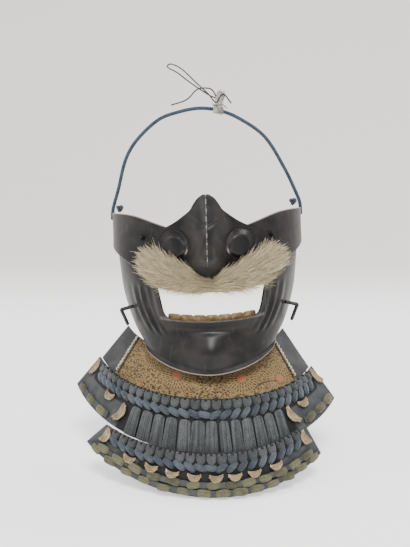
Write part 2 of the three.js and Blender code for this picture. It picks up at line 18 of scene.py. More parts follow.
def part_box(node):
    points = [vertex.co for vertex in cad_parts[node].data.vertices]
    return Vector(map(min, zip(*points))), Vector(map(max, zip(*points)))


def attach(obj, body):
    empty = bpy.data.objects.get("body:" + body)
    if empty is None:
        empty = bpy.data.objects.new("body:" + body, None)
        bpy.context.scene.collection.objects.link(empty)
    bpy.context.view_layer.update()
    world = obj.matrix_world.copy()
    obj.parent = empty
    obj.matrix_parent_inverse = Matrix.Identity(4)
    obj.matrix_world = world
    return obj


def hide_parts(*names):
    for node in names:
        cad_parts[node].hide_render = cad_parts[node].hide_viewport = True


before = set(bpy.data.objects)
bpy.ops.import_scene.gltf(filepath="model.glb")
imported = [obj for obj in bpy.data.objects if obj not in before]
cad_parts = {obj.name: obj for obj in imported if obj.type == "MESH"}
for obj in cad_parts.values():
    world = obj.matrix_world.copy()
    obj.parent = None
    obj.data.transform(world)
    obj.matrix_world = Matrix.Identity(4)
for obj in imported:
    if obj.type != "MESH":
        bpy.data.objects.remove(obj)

Array = np.ndarray
Form = Callable[[Array, Array], Array]
Colour = tuple[float, float, float]
LOG = logging.getLogger("face_guard")
MM = 0.001


# ---------- measuring ----------
def lerp(start: float | Array, end: float | Array, share: float | Array) -> float | Array:
    """The value a share of the way from start to end."""
    return start + (end - start) * share


def smoothstep(value: Array, low: float, high: float) -> Array:
    """0 below low, 1 above high, and a smooth rise between."""
    share = np.clip((value - low) / (high - low), 0, 1)
    return share * share * (3 - 2 * share)


def hill(distance: float | Array, reach: float) -> Array:
    """A bell curve of height 1."""
    return np.exp(-((distance / reach) ** 2))


def xyz(x: Array, y: Array, z: Array) -> Array:
    """Points from their three coordinates."""
    return np.stack(np.broadcast_arrays(x, y, z), axis=-1)


@dataclass(frozen=True)
class Table:
    """Sizes along a form, a row of them at each place, read smoothly between the rows."""

    at: tuple[float, ...]
    columns: dict[str, tuple[float, ...]]

    def read(self, column: str, at: Array) -> Array:
        """The column's size at each place.

        Args:
            column: Name of the size.
            at: Places along the form.
        Returns:
            The size at each place, clamped past the ends.
        """
        knots, sizes = np.array(self.at), np.array(self.columns[column])
        last = len(knots) - 1
        at = np.asarray(at, dtype=float)
        k = np.clip(np.searchsorted(knots, at, side="right") - 1, 0, last - 1)
        before, after = np.maximum(k - 1, 0), np.minimum(k + 2, last)
        span = knots[k + 1] - knots[k]
        share = np.clip((at - knots[k]) / span, 0, 1)
        leave = (sizes[k + 1] - sizes[before]) / (knots[k + 1] - knots[before]) * span
        arrive = (sizes[after] - sizes[k]) / (knots[after] - knots[k]) * span
        rise = sizes[k + 1] - sizes[k]
        bow = share * (1 - share) * ((1 - share) * (leave - rise) - share * (arrive - rise))
        return sizes[k] + rise * share + bow


def normal_at(form: Form, u: Array, v: Array) -> Array:
    """Outward unit normals of a form whose u runs to the right and whose v runs down."""
    step = 1e-3
    across = form(np.minimum(u + step, 1), v) - form(np.maximum(u - step, -1), v)
    down = form(u, v + step) - form(u, v - step)
    out = np.cross(down, across)
    return out / np.maximum(np.linalg.norm(out, axis=-1, keepdims=True), 1e-9)


def lifted(form: Form, lift: float | Array) -> Form:
    """The same form, moved out along its normals."""
    return lambda u, v: form(u, v) + normal_at(form, u, v) * np.asarray(lift)[..., None]


def stand_on(form: Form, u: float, v: float, lift: float, turn: float = 0, size: float = 1) -> Matrix:
    """Where a small piece stands on a form, in metres.

    Args:
        form: The surface.
        u: Place along it.
        v: Place down it.
        lift: Height over it.
        turn: Turn about the normal, in degrees.
        size: Scale of the piece.
    Returns:
        A matrix whose X runs along u and whose Z points out.
    """
    step = 1e-3
    spot, side = np.array([u, u + step, u - step]), np.array([v, v, v])
    points = form(spot, side)
    out = Vector(normal_at(form, np.array([u]), np.array([v]))[0])
    along = Vector(points[1] - points[2])
    along = (along - out * along.dot(out)).normalized()
    place = Matrix((along, out.cross(along), out)).transposed().to_4x4()
    place.translation = (Vector(points[0]) + out * lift) * MM
    return place @ Matrix.Rotation(math.radians(turn), 4, "Z") @ Matrix.Scale(size, 4)


def smooth_route(points: Sequence[Sequence[float]], steps: int) -> Array:
    """A smooth line through points, with a number of even steps.

    Args:
        points: The places that it passes through.
        steps: How many lines it is cut into.
    Returns:
        steps + 1 points, evenly spaced.
    """
    route = np.array(points, dtype=float)
    gaps = np.linalg.norm(np.diff(route, axis=0), axis=1) ** 0.5
    at = tuple(np.concatenate([[0], np.cumsum(gaps)]))
    table = Table(at, {axis: tuple(route[:, k]) for k, axis in enumerate("xyz")})
    fine = np.linspace(0, at[-1], steps * 8 + 1)
    line = xyz(*(table.read(axis, fine) for axis in "xyz"))
    run = np.concatenate([[0], np.cumsum(np.linalg.norm(np.diff(line, axis=0), axis=1))])
    even = np.linspace(0, run[-1], steps + 1)
    return np.stack([np.interp(even, run, line[:, k]) for k in range(3)], axis=-1)


# ---------- making meshes ----------
def finish_piece(name: str, bm: bmesh.types.BMesh) -> bpy.types.Object:
    """Turns a bmesh in metres into a smooth-shaded object at the origin.

    Args:
        name: The piece's name.
        bm: Its shape, which is freed.
    Returns:
        The object, in the scene.
    """
    mesh = bpy.data.meshes.new(name)
    bm.to_mesh(mesh)
    bm.free()
    mesh.shade_smooth()
    piece = bpy.data.objects.new(name, mesh)
    bpy.context.scene.collection.objects.link(piece)
    return piece


def bent_grid(form: Form, columns: int, rows: int, marks: dict[str, Form] | None = None) -> bmesh.types.BMesh:
    """A grid laid on a form, with a UV map in millimetres along and across it.

    Args:
        form: Outer face for a (left to right) and b (top to bottom), both from 0 to 1.
        columns: Faces across.
        rows: Faces down.
        marks: Values from 0 to 1 to keep on its points, by name.
    Returns:
        The sheet, in metres, facing out.
    """
    bm = bmesh.new()
    uv = bm.loops.layers.uv.new("UVMap")
    bmesh.ops.create_grid(bm, x_segments=columns, y_segments=rows, size=0.5)
    bm.verts.index_update()
    a = np.array([vert.co.x + 0.5 for vert in bm.verts])
    b = np.array([0.5 - vert.co.y for vert in bm.verts])
    line, middle = np.linspace(0, 1, 120), np.full(120, 0.5)
    run = []
    for points in (form(line, middle), form(middle, line)):
        legs = np.linalg.norm(np.diff(points, axis=0), axis=1)
        run.append(np.concatenate([[0], np.cumsum(legs)]))
    along, down = np.interp(a, line, run[0]), np.interp(b, line, run[1])
    layers = {name: (bm.verts.layers.float.new(name), mark(a, b)) for name, mark in (marks or {}).items()}
    points = form(a, b) * MM
    for k, vert in enumerate(bm.verts):
        vert.co = points[k]
        for layer, values in layers.values():
            vert[layer] = float(values[k])
    for face in bm.faces:
        for loop in face.loops:
            loop[uv].uv = (along[loop.vert.index], down[loop.vert.index])
    return bm


def wall(piece: bpy.types.Object, thickness: float, edge: float = 0.3, segments: int = 2) -> bpy.types.Object:
    """Gives a sheet its thickness inwards and rounds its edges.

    Args:
        piece: The sheet.
        thickness: Its thickness.
        edge: Radius of its edges.
        segments: Faces across an edge.
    Returns:
        The piece.
    """
    solidify = piece.modifiers.new("thickness", "SOLIDIFY")
    solidify.thickness, solidify.offset = thickness * MM, -1
    if edge:
        bevel = piece.modifiers.new("edges", "BEVEL")
        bevel.width, bevel.segments = edge * MM, segments
        bevel.limit_method, bevel.angle_limit = "ANGLE", math.radians(50)
        bevel.harden_normals = True
    return piece


def strands(
    name: str, paths: Iterable[Array], radii: float | Array, sides: int = 6, capped: bool = True
) -> bpy.types.Object:
    """Round threads as one mesh. Each keeps a value from 0 to 1, "strand", of its own.

    Args:
        name: The piece's name.
        paths: Each thread's points.
        radii: One radius, or one for each point of a thread.
        sides: Sides of a thread: 4, 6 or 8.
        capped: Whether the ends are closed.
    Returns:
        The piece.
    """
    curve = bpy.data.curves.new(name, "CURVE")
    curve.dimensions, curve.resolution_u = "3D", 1
    curve.bevel_depth, curve.bevel_resolution = MM, (sides - 4) // 2
    curve.use_fill_caps = capped
    count = 0
    for path in paths:
        spline = curve.splines.new("POLY")
        spline.points.add(len(path) - 1)
        flat = np.ones((len(path), 4))
        flat[:, :3] = path * MM
        spline.points.foreach_set("co", flat.ravel())
        spline.points.foreach_set("radius", np.broadcast_to(radii, len(path)).astype(float))
        spline.use_smooth = True
        count += 1
    thread = bpy.data.objects.new(name, curve)
    bpy.context.scene.collection.objects.link(thread)
    mesh = bpy.data.meshes.new_from_object(thread.evaluated_get(bpy.context.evaluated_depsgraph_get()))
    bpy.data.objects.remove(thread)
    bpy.data.curves.remove(curve)
    mesh.name = name
    own = np.random.default_rng(count).random(count).repeat(len(mesh.vertices) // count)
    values = np.zeros(len(mesh.vertices))
    values[: len(own)] = own
    mesh.attributes.new("strand", "FLOAT", "POINT").data.foreach_set("value", values)
    mesh.shade_smooth()
    piece = bpy.data.objects.new(name, mesh)
    bpy.context.scene.collection.objects.link(piece)
    return piece


def stamped(name: str, pattern: bpy.types.Mesh, places: Sequence[Matrix]) -> bpy.types.Object:
    """Copies of one small shape, joined as one mesh. Each keeps a value named own of its own.

    Args:
        name: The piece's name.
        pattern: The small shape, in metres about the origin.
        places: Where each copy stands.
    Returns:
        The piece.
    """
    bm = bmesh.new()
    own = bm.verts.layers.float.new("own")
    values = np.random.default_rng(len(places)).random(len(places))
    for value, place in zip(values, places):
        start = len(bm.verts)
        bm.from_mesh(pattern)
        bm.verts.ensure_lookup_table()
        copy = bm.verts[start:]
        bmesh.ops.transform(bm, matrix=place, verts=copy)
        for vert in copy:
            vert[own] = value
    return finish_piece(name, bm)


def cushion(
    length: float, height: float, thick: float, square: float, grid: tuple[int, int]
) -> bpy.types.Mesh:
    """A low rounded cushion with a flat back.

    Args:
        length: Its size along X.
        height: Its size along Y.
        thick: How far it stands out.
        square: 2 for an oval, more for a squarer outline.
        grid: Faces along and across.
    Returns:
        Its mesh, in metres.
    """
    bm = bmesh.new()
    uv = bm.loops.layers.uv.new("UVMap")
    bmesh.ops.create_grid(bm, x_segments=grid[0], y_segments=grid[1], size=1)
    for face in bm.faces:
        for loop in face.loops:
            loop[uv].uv = (loop.vert.co.x * length / 2, loop.vert.co.y * height / 2)
    for vert in bm.verts:
        x, y = vert.co.x, vert.co.y
        reach = (abs(x) ** square + abs(y) ** square) ** (1 / square) or 1
        shrink = max(abs(x), abs(y)) / reach
        share = max(abs(x), abs(y))
        rise = math.sqrt(max(1 - share**2.6, 0))
        vert.co = (x * shrink * length / 2 * MM, y * shrink * height / 2 * MM, rise * thick * MM)
    mesh = bpy.data.meshes.new("cushion")
    bm.to_mesh(mesh)
    bm.free()
    return mesh


# ---------- finishes ----------
class Shader:
    """A material's nodes, wired by short calls."""

    def __init__(self, name: str) -> None:
        """Starts the material with its main shader."""
        self.material = bpy.data.materials.new(name)
        self.material.use_nodes = True
        self.tree = self.material.node_tree
        self.surface = self.tree.nodes["Principled BSDF"]

    def node(self, kind: str, **settings: object) -> bpy.types.Node:
        """A new node with its settings."""
        node = self.tree.nodes.new(kind)
        for name, value in settings.items():
            setattr(node, name, value)
        return node

    def put(self, socket: bpy.types.NodeSocket, value: object) -> None:
        """Links an output to a socket, or sets the socket's value."""
        if isinstance(value, bpy.types.NodeSocket):
            self.tree.links.new(value, socket)
        elif isinstance(value, tuple) and len(value) == 3 and socket.type == "RGBA":
            socket.default_value = (*value, 1)
        else:
            socket.default_value = value

    def set(self, **values: object) -> None:
        """Sets or links the main shader's sockets, named in lower case."""
        names = {socket.name.lower().replace(" ", "_"): socket for socket in self.surface.inputs}
        for name, value in values.items():
            self.put(names[name], value)

    def math(self, operation: str, first: object, second: object = 0.0) -> bpy.types.NodeSocket:
        """A sum of one or two values."""
        node = self.node("ShaderNodeMath", operation=operation)
        self.put(node.inputs[0], first)
        self.put(node.inputs[1], second)
        return node.outputs[0]

    def place(
        self, source: str = "Object", scale: tuple[float, float, float] = (1, 1, 1)
    ) -> bpy.types.NodeSocket:
        """Object or UV coordinates, stretched."""
        coords = self.node("ShaderNodeTexCoord")
        mapping = self.node("ShaderNodeMapping")
        self.put(mapping.inputs["Vector"], coords.outputs[source])
        mapping.inputs["Scale"].default_value = scale
        return mapping.outputs[0]

    def noise(
        self, vector: bpy.types.NodeSocket, scale: float, detail: float = 3, distortion: float = 0
    ) -> bpy.types.NodeSocket:
        """Cloudy noise from 0 to 1."""
        node = self.node("ShaderNodeTexNoise")
        self.put(node.inputs["Vector"], vector)
        node.inputs["Scale"].default_value = scale
        node.inputs["Detail"].default_value = detail
        node.inputs["Distortion"].default_value = distortion
        return node.outputs[0]

    def own(self, name: str) -> bpy.types.NodeSocket:
        """A value that the mesh's points keep."""
        return self.node("ShaderNodeAttribute", attribute_name=name).outputs["Fac"]

    def between(self, value: object, low: float, high: float, smooth: bool = True) -> bpy.types.NodeSocket:
        """0 where the value is under low, 1 over high."""
        node = self.node("ShaderNodeMapRange", interpolation_type="SMOOTHSTEP" if smooth else "LINEAR")
        self.put(node.inputs["Value"], value)
        node.inputs["From Min"].default_value = low
        node.inputs["From Max"].default_value = high
        return node.outputs[0]

    def mix(self, share: object, first: object, second: object) -> bpy.types.NodeSocket:
        """A colour between two others."""
        node = self.node("ShaderNodeMix", data_type="RGBA")
        self.put(node.inputs[0], share)
        self.put(node.inputs[6], first)
        self.put(node.inputs[7], second)
        return node.outputs[2]

    def bump(self, height: object, distance: float, strength: float = 1) -> None:
        """Raises the surface by a height from 0 to 1, times a distance in millimetres."""
        node = self.node("ShaderNodeBump")
        self.put(node.inputs["Height"], height)
        node.inputs["Distance"].default_value = distance * MM
        node.inputs["Strength"].default_value = strength
        under = self.surface.inputs["Normal"]
        if under.is_linked:
            self.put(node.inputs["Normal"], under.links[0].from_socket)
        self.put(under, node.outputs[0])


@dataclass(frozen=True)
class Lacquer:
    """Lacquer on iron or hide: cloudy colour, hairline scratches, light wear along its edges with some
    painted highlights, and dark stains with some painted shade.
    """

    name: str
    slot: str
    dark: Colour
    light: Colour
    worn: Colour
    roughness: float = 0.36
    mottle: float = 55

    def make(self) -> bpy.types.Material:
        """The material."""
        shader = Shader(self.name)
        spot = shader.place()
        cloud = shader.noise(spot, self.mottle, 5, 0.4)
        fine = shader.noise(spot, 900, 4)
        streak = shader.noise(shader.place(scale=(260, 260, 40)), 1, 4, 0.6)
        colour = shader.mix(shader.between(cloud, 0.36, 0.68), self.dark, self.light)
        # This mark darkens real stains and also paints shade in hollows: under the lower lip, under the nose
        # tip and in the nostril grooves.
        stain_and_shade = shader.own("stain_and_shade")
        colour = shader.mix(shader.math("MULTIPLY", stain_and_shade, 0.9), colour, (0.006, 0.0055, 0.005))
        broken = shader.math("MULTIPLY_ADD", fine, 0.9)
        broken.node.inputs[2].default_value = -0.3
        # This mark lightens rubbed edges and also paints highlight lines along the cheek fold and the nostril
        # creases.
        wear = shader.math("ADD", shader.own("wear"), shader.math("MULTIPLY", broken, 0.35))
        shade = shader.between(wear, 0.3, 0.85)
        scuffs = shader.math("MULTIPLY", shader.between(streak, 0.6, 0.82), 0.16)
        colour = shader.mix(shader.math("MAXIMUM", shade, scuffs), colour, self.worn)
        rough = shader.math("MULTIPLY_ADD", cloud, 0.22)
        rough.node.inputs[2].default_value = self.roughness - 0.1
        rough = shader.math("ADD", rough, shader.math("MULTIPLY", stain_and_shade, 0.35))
        rough = shader.math("ADD", rough, shader.math("MULTIPLY", shade, 0.12))
        shader.set(base_color=colour, roughness=rough, coat_weight=0.0, specular_ior_level=0.24)
        shader.bump(fine, 0.05)
        shader.bump(cloud, 0.35)
        shader.bump(shader.math("MULTIPLY", stain_and_shade, shader.noise(spot, 420, 5, 1.2)), 0.9)
        return shader.material


@dataclass(frozen=True)
class Lacing:
    """Flat silk or hemp lacing: fine threads that run along the piece, each a little different, with painted
    shade in the grooves between them.
    """

    name: str
    slot: str
    dark: Colour
    light: Colour
    across: bool = False
    pitch: float = 0.62
    roughness: float = 0.72

    def make(self) -> bpy.types.Material:
        """The material."""
        shader = Shader(self.name)
        turn = 2 * math.pi / self.pitch
        scale = (turn, 0.35, 1) if self.across else (0.35, turn, 1)
        spot = shader.place("UV", scale)
        split = shader.node("ShaderNodeSeparateXYZ")
        shader.put(split.inputs[0], spot)
        wobble = shader.noise(spot, 0.25, 2)
        phase = shader.math(
            "ADD", split.outputs[0 if self.across else 1], shader.math("MULTIPLY", wobble, 5.0)
        )
        thread = shader.math("MULTIPLY_ADD", shader.math("SINE", phase), 0.5)
        thread.node.inputs[2].default_value = 0.5
        own = shader.math("ADD", shader.own("own"), shader.own("strand"))
        cloud = shader.noise(shader.place(), 260, 3)
        tone = shader.math("ADD", shader.math("MULTIPLY", own, 0.45), shader.math("MULTIPLY", cloud, 0.75))
        colour = shader.mix(shader.between(tone, 0.25, 0.85), self.dark, self.light)
        # Painted shade: the grooves between threads are darkened.
        groove_shade = shader.between(thread, 0.0, 0.45)
        low = tuple(0.32 * part for part in self.dark)
        colour = shader.mix(groove_shade, low, colour)
        fuzz = shader.noise(shader.place(), 2600, 3)
        shader.set(base_color=colour, roughness=self.roughness, sheen_weight=0.22, sheen_roughness=0.45)
        shader.set(specular_ior_level=0.28)
        shader.bump(thread, 0.22)
        shader.bump(fuzz, 0.1)
        return shader.material


@dataclass(frozen=True)
class Thread:
    """Yarn, cord or twine made as round strands: twisted plies with painted shade between them, and a tone
    for each strand.
    """

    name: str
    slot: str
    dark: Colour
    light: Colour
    twist: float = 900
    roughness: float = 0.75

    def make(self) -> bpy.types.Material:
        """The material."""
        shader = Shader(self.name)
        spot = shader.place()
        own = shader.math("ADD", shader.own("strand"), shader.own("own"))
        ply = shader.noise(shader.place(scale=(self.twist, self.twist, self.twist * 0.7)), 1, 2, 0.8)
        fuzz = shader.noise(spot, 3000, 3)
        cloud = shader.noise(spot, 150, 3)
        tone = shader.math("ADD", shader.math("MULTIPLY", own, 0.55), shader.math("MULTIPLY", cloud, 0.6))
        colour = shader.mix(shader.between(tone, 0.2, 0.95), self.dark, self.light)
        # Painted shade: the dark lines between the twisted plies.
        low = tuple(0.4 * part for part in self.dark)
        colour = shader.mix(shader.between(ply, 0.28, 0.5), low, colour)
        shader.set(base_color=colour, roughness=self.roughness, sheen_weight=0.2, sheen_roughness=0.5)
        shader.set(specular_ior_level=0.25)
        shader.bump(ply, 0.18)
        shader.bump(fuzz, 0.08)
        return shader.material


@dataclass(frozen=True)
class Hair:
    """Bristly pale hair, each strand of its own straw or cream tone, with fine darker streaks."""

    name: str
    slot: str
    dark: Colour
    light: Colour

    def make(self) -> bpy.types.Material:
        """The material."""
        shader = Shader(self.name)
        cloud = shader.noise(shader.place(), 130, 3)
        tone = shader.math(
            "ADD", shader.math("MULTIPLY", shader.own("strand"), 0.7), shader.math("MULTIPLY", cloud, 0.4)
        )
        colour = shader.mix(shader.between(tone, 0.12, 0.72), self.dark, self.light)
        streak = shader.noise(shader.place(scale=(1, 1, 0.2)), 2200, 2)
        colour = shader.mix(
            shader.math("MULTIPLY", shader.between(streak, 0.55, 0.8), 0.4), colour, self.dark
        )
        shader.set(base_color=colour, roughness=0.55, sheen_weight=0.1, specular_ior_level=0.35)
        shader.bump(streak, 0.04)
        return shader.material


@dataclass(frozen=True)
class StencilledLeather:
    """Buff leather stencilled with suns: short dark strokes round each red centre, and a fine crack."""

    name: str
    slot: str
    buff: Colour
    gold: Colour
    ink: Colour
    red: Colour
    suns: tuple[tuple[float, float], ...]

    def make(self) -> bpy.types.Material:
        """The material."""
        shader = Shader(self.name)
        spot = shader.place("UV")
        warp = shader.node("ShaderNodeTexNoise")
        shader.put(warp.inputs["Vector"], spot)
        warp.inputs["Scale"].default_value = 0.22
        bend = shader.node("ShaderNodeVectorMath", operation="MULTIPLY_ADD")
        shader.put(bend.inputs[0], warp.outputs[1])
        bend.inputs[1].default_value = (2.4, 2.4, 0)
        shader.put(bend.inputs[2], spot)
        grain = shader.noise(spot, 1.3, 3)
        maze = shader.noise(bend.outputs[0], 0.62, 1.2, 0.6)
        strokes = shader.between(maze, 0.475, 0.53)
        centre: bpy.types.NodeSocket | None = None
        for x, y in self.suns:
            ray, glow, reach = self._sun(shader, bend.outputs[0], x, y)
            strokes = self._blend(shader, reach, strokes, ray)
            centre = glow if centre is None else shader.math("MAXIMUM", centre, glow)
        broken = shader.between(grain, 0.3, 0.52)
        colour = shader.mix(shader.noise(spot, 0.05, 4), self.buff, self.gold)
        colour = shader.mix(shader.math("MULTIPLY", grain, 0.25), colour, self.ink)
        colour = shader.mix(shader.math("MULTIPLY", strokes, broken), colour, self.ink)
        colour = shader.mix(centre, colour, self.red)
        worn = shader.between(shader.noise(spot, 0.11, 3), 0.52, 0.75)
        colour = shader.mix(shader.math("MULTIPLY", worn, 0.45), colour, self.gold)
        crack = shader.own("crack")
        colour = shader.mix(shader.between(crack, 0.45, 0.7), colour, (0.02, 0.014, 0.01))
        shader.set(base_color=colour, roughness=0.74, sheen_weight=0.08, specular_ior_level=0.3)
        shader.bump(grain, 0.16)
        shader.bump(shader.math("SUBTRACT", 1.0, strokes), 0.08)
        return shader.material

    def _sun(
        self, shader: Shader, spot: bpy.types.NodeSocket, x: float, y: float
    ) -> tuple[bpy.types.NodeSocket, bpy.types.NodeSocket, bpy.types.NodeSocket]:
        """One sun's rays, its red centre, and how far it reaches.

        Args:
            shader: The material in the making.
            spot: Places on the leather.
            x: The sun's place along it.
            y: The sun's place down it.
        Returns:
            The rays, the red centre and the reach, each from 0 to 1.
        """
        away = shader.node("ShaderNodeVectorMath", operation="SUBTRACT")
        shader.put(away.inputs[0], spot)
        away.inputs[1].default_value = (x, y, 0)
        length = shader.node("ShaderNodeVectorMath", operation="LENGTH")
        shader.put(length.inputs[0], away.outputs[0])
        split = shader.node("ShaderNodeSeparateXYZ")
        shader.put(split.inputs[0], away.outputs[0])
        angle = shader.math("ARCTAN2", split.outputs[1], split.outputs[0])
        far = length.outputs["Value"]
        ring = shader.math("FLOOR", shader.math("DIVIDE", far, 3.4))
        count = shader.math("ADD", shader.math("MULTIPLY", ring, 8.0), 8.0)
        turn = shader.math("MULTIPLY", shader.math("ADD", angle, shader.math("MULTIPLY", ring, 0.37)), count)
        ray = shader.between(shader.math("SINE", turn), -0.15, 0.35)
        along = shader.math("FRACT", shader.math("DIVIDE", far, 3.4))
        gap = shader.math("MULTIPLY", shader.between(along, 0.04, 0.2), shader.between(along, 0.97, 0.82))
        ray = shader.math("MULTIPLY", ray, gap)
        glow = shader.math("MULTIPLY", shader.between(far, 5.2, 1.0), 0.8)
        return ray, glow, shader.between(far, 17.0, 11.0)

    @staticmethod
    def _blend(
        shader: Shader, share: bpy.types.NodeSocket, first: bpy.types.NodeSocket, second: bpy.types.NodeSocket
    ) -> bpy.types.NodeSocket:
        """A value between two others."""
        node = shader.node("ShaderNodeMix", data_type="FLOAT")
        shader.put(node.inputs[0], share)
        shader.put(node.inputs[2], first)
        shader.put(node.inputs[3], second)
        return node.outputs[0]


@dataclass(frozen=True)
class Leather:
    """Smooth dyed leather with a fine grain and a rubbed edge."""

    name: str
    slot: str
    dark: Colour
    light: Colour
    roughness: float = 0.5

    def make(self) -> bpy.types.Material:
        """The material."""
        shader = Shader(self.name)
        spot = shader.place()
        cells = shader.node("ShaderNodeTexVoronoi")
        shader.put(cells.inputs["Vector"], spot)
        cells.inputs["Scale"].default_value = 950
        cloud = shader.noise(spot, 70, 4, 0.5)
        shade = shader.math(
            "MAXIMUM", shader.between(cloud, 0.35, 0.8), shader.between(shader.own("wear"), 0.4, 1.0)
        )
        colour = shader.mix(shade, self.dark, self.light)
        colour = shader.mix(shader.between(shader.own("stain_and_shade"), 0.2, 0.8), colour, (0.004, 0.004, 0.005))
        rough = shader.math("MULTIPLY_ADD", cloud, 0.25)
        rough.node.inputs[2].default_value = self.roughness - 0.12
        shader.set(base_color=colour, roughness=rough, specular_ior_level=0.4)
        shader.bump(cells.outputs[0], 0.07)
        shader.bump(cloud, 0.3)
        return shader.material


@dataclass(frozen=True)
class Metal:
    """Dark forged iron or wire, or dull gilt, with a slightly pitted skin."""

    name: str
    slot: str
    dark: Colour
    light: Colour
    metallic: float = 0.8
    roughness: float = 0.45
    pits: float = 0.08

    def make(self) -> bpy.types.Material:
        """The material."""
        shader = Shader(self.name)
        spot = shader.place()
        cloud = shader.noise(spot, 240, 5, 0.3)
        pit = shader.noise(spot, 1500, 4)
        colour = shader.mix(shader.between(cloud, 0.35, 0.7), self.dark, self.light)
        rough = shader.math("MULTIPLY_ADD", pit, 0.35)
        rough.node.inputs[2].default_value = self.roughness - 0.17
        shader.set(base_color=colour, roughness=rough, metallic=self.metallic)
        shader.bump(pit, self.pits)
        shader.bump(cloud, self.pits * 2)
        return shader.material


class Finish(Enum):
    """The finishes of the face guard."""

    RUSSET = Lacquer(
        "russet_lacquer", "russet_lacquer", (0.006, 0.0058, 0.006), (0.018, 0.0155, 0.014),
        (0.22, 0.19, 0.16), 0.36,
    )
    STUD = Lacquer(
        "stud_lacquer", "lame_ground", (0.004, 0.004, 0.005), (0.008, 0.008, 0.009), (0.3, 0.3, 0.3), 0.2
    )
    GROUND = Leather("lame_ground", "lame_ground", (0.028, 0.031, 0.034), (0.062, 0.066, 0.066), 0.7)
    HAIR = Hair("moustache_hair", "hair", (0.16, 0.125, 0.065), (0.56, 0.48, 0.30))
    GILT = Metal("gilt_teeth", "gilt_teeth", (0.15, 0.085, 0.035), (0.34, 0.23, 0.11), 0.3, 0.5, 0.2)
    STENCIL = StencilledLeather(
        "stencilled_leather", "stencilled_leather",
        (0.165, 0.105, 0.036), (0.27, 0.178, 0.07), (0.012, 0.008, 0.005),
        (0.36, 0.095, 0.045), ((33, 11), (62, 24), (116, 27), (150, 38)),
    )
    BLACK_LEATHER = Leather("black_leather", "black_leather", (0.018, 0.019, 0.021), (0.05, 0.052, 0.054))
    STITCH = Thread("cream_braid", "cream_braid", (0.42, 0.36, 0.25), (0.72, 0.66, 0.5))
    GREY = Lacing("grey_lacing", "grey_lacing", (0.032, 0.037, 0.040), (0.082, 0.089, 0.092), pitch=0.7)
    BLUE = Lacing("blue_lacing", "blue_lacing", (0.028, 0.037, 0.050), (0.082, 0.100, 0.122), pitch=0.75)
    KEBIKI = Thread("grey_threads", "grey_lacing", (0.028, 0.034, 0.036), (0.088, 0.098, 0.098), 1500)
    CREAM = Thread("cream_silk", "cream_silk", (0.17, 0.11, 0.055), (0.47, 0.38, 0.22), 1300)
    OLIVE = Lacing("olive_pads", "olive_pads", (0.055, 0.053, 0.028), (0.15, 0.142, 0.075), pitch=0.9)
    CORD = Thread("blue_cord", "blue_cord", (0.014, 0.026, 0.042), (0.045, 0.072, 0.105), 1100)
    TWINE = Thread("grey_twine", "grey_twine", (0.20, 0.18, 0.15), (0.55, 0.52, 0.46), 1200)
    IRON = Metal("dark_iron", "dark_iron", (0.012, 0.012, 0.013), (0.035, 0.034, 0.034), 0.6, 0.42)
    WIRE = Metal("dark_wire", "wire", (0.02, 0.018, 0.016), (0.06, 0.055, 0.05), 0.7, 0.4, 0.04)

    @functools.cache
    def material(self) -> bpy.types.Material:
        """The finish's material, made once."""
        return self.value.make()

    def on(self, piece: bpy.types.Object, *nodes: str) -> bpy.types.Object:
        """Dresses a new piece, sets it on the body and hides the CAD nodes that it stands for.

        Args:
            piece: The piece.
            nodes: The CAD nodes that it replaces.
        Returns:
            The piece.
        """
        piece.data.materials.clear()
        piece.data.materials.append(self.material())
        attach(piece, "root")
        if nodes:
            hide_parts(*nodes)
        LOG.info("%s: %d faces, %s", piece.name, len(piece.data.polygons), self.value.name)
        return piece


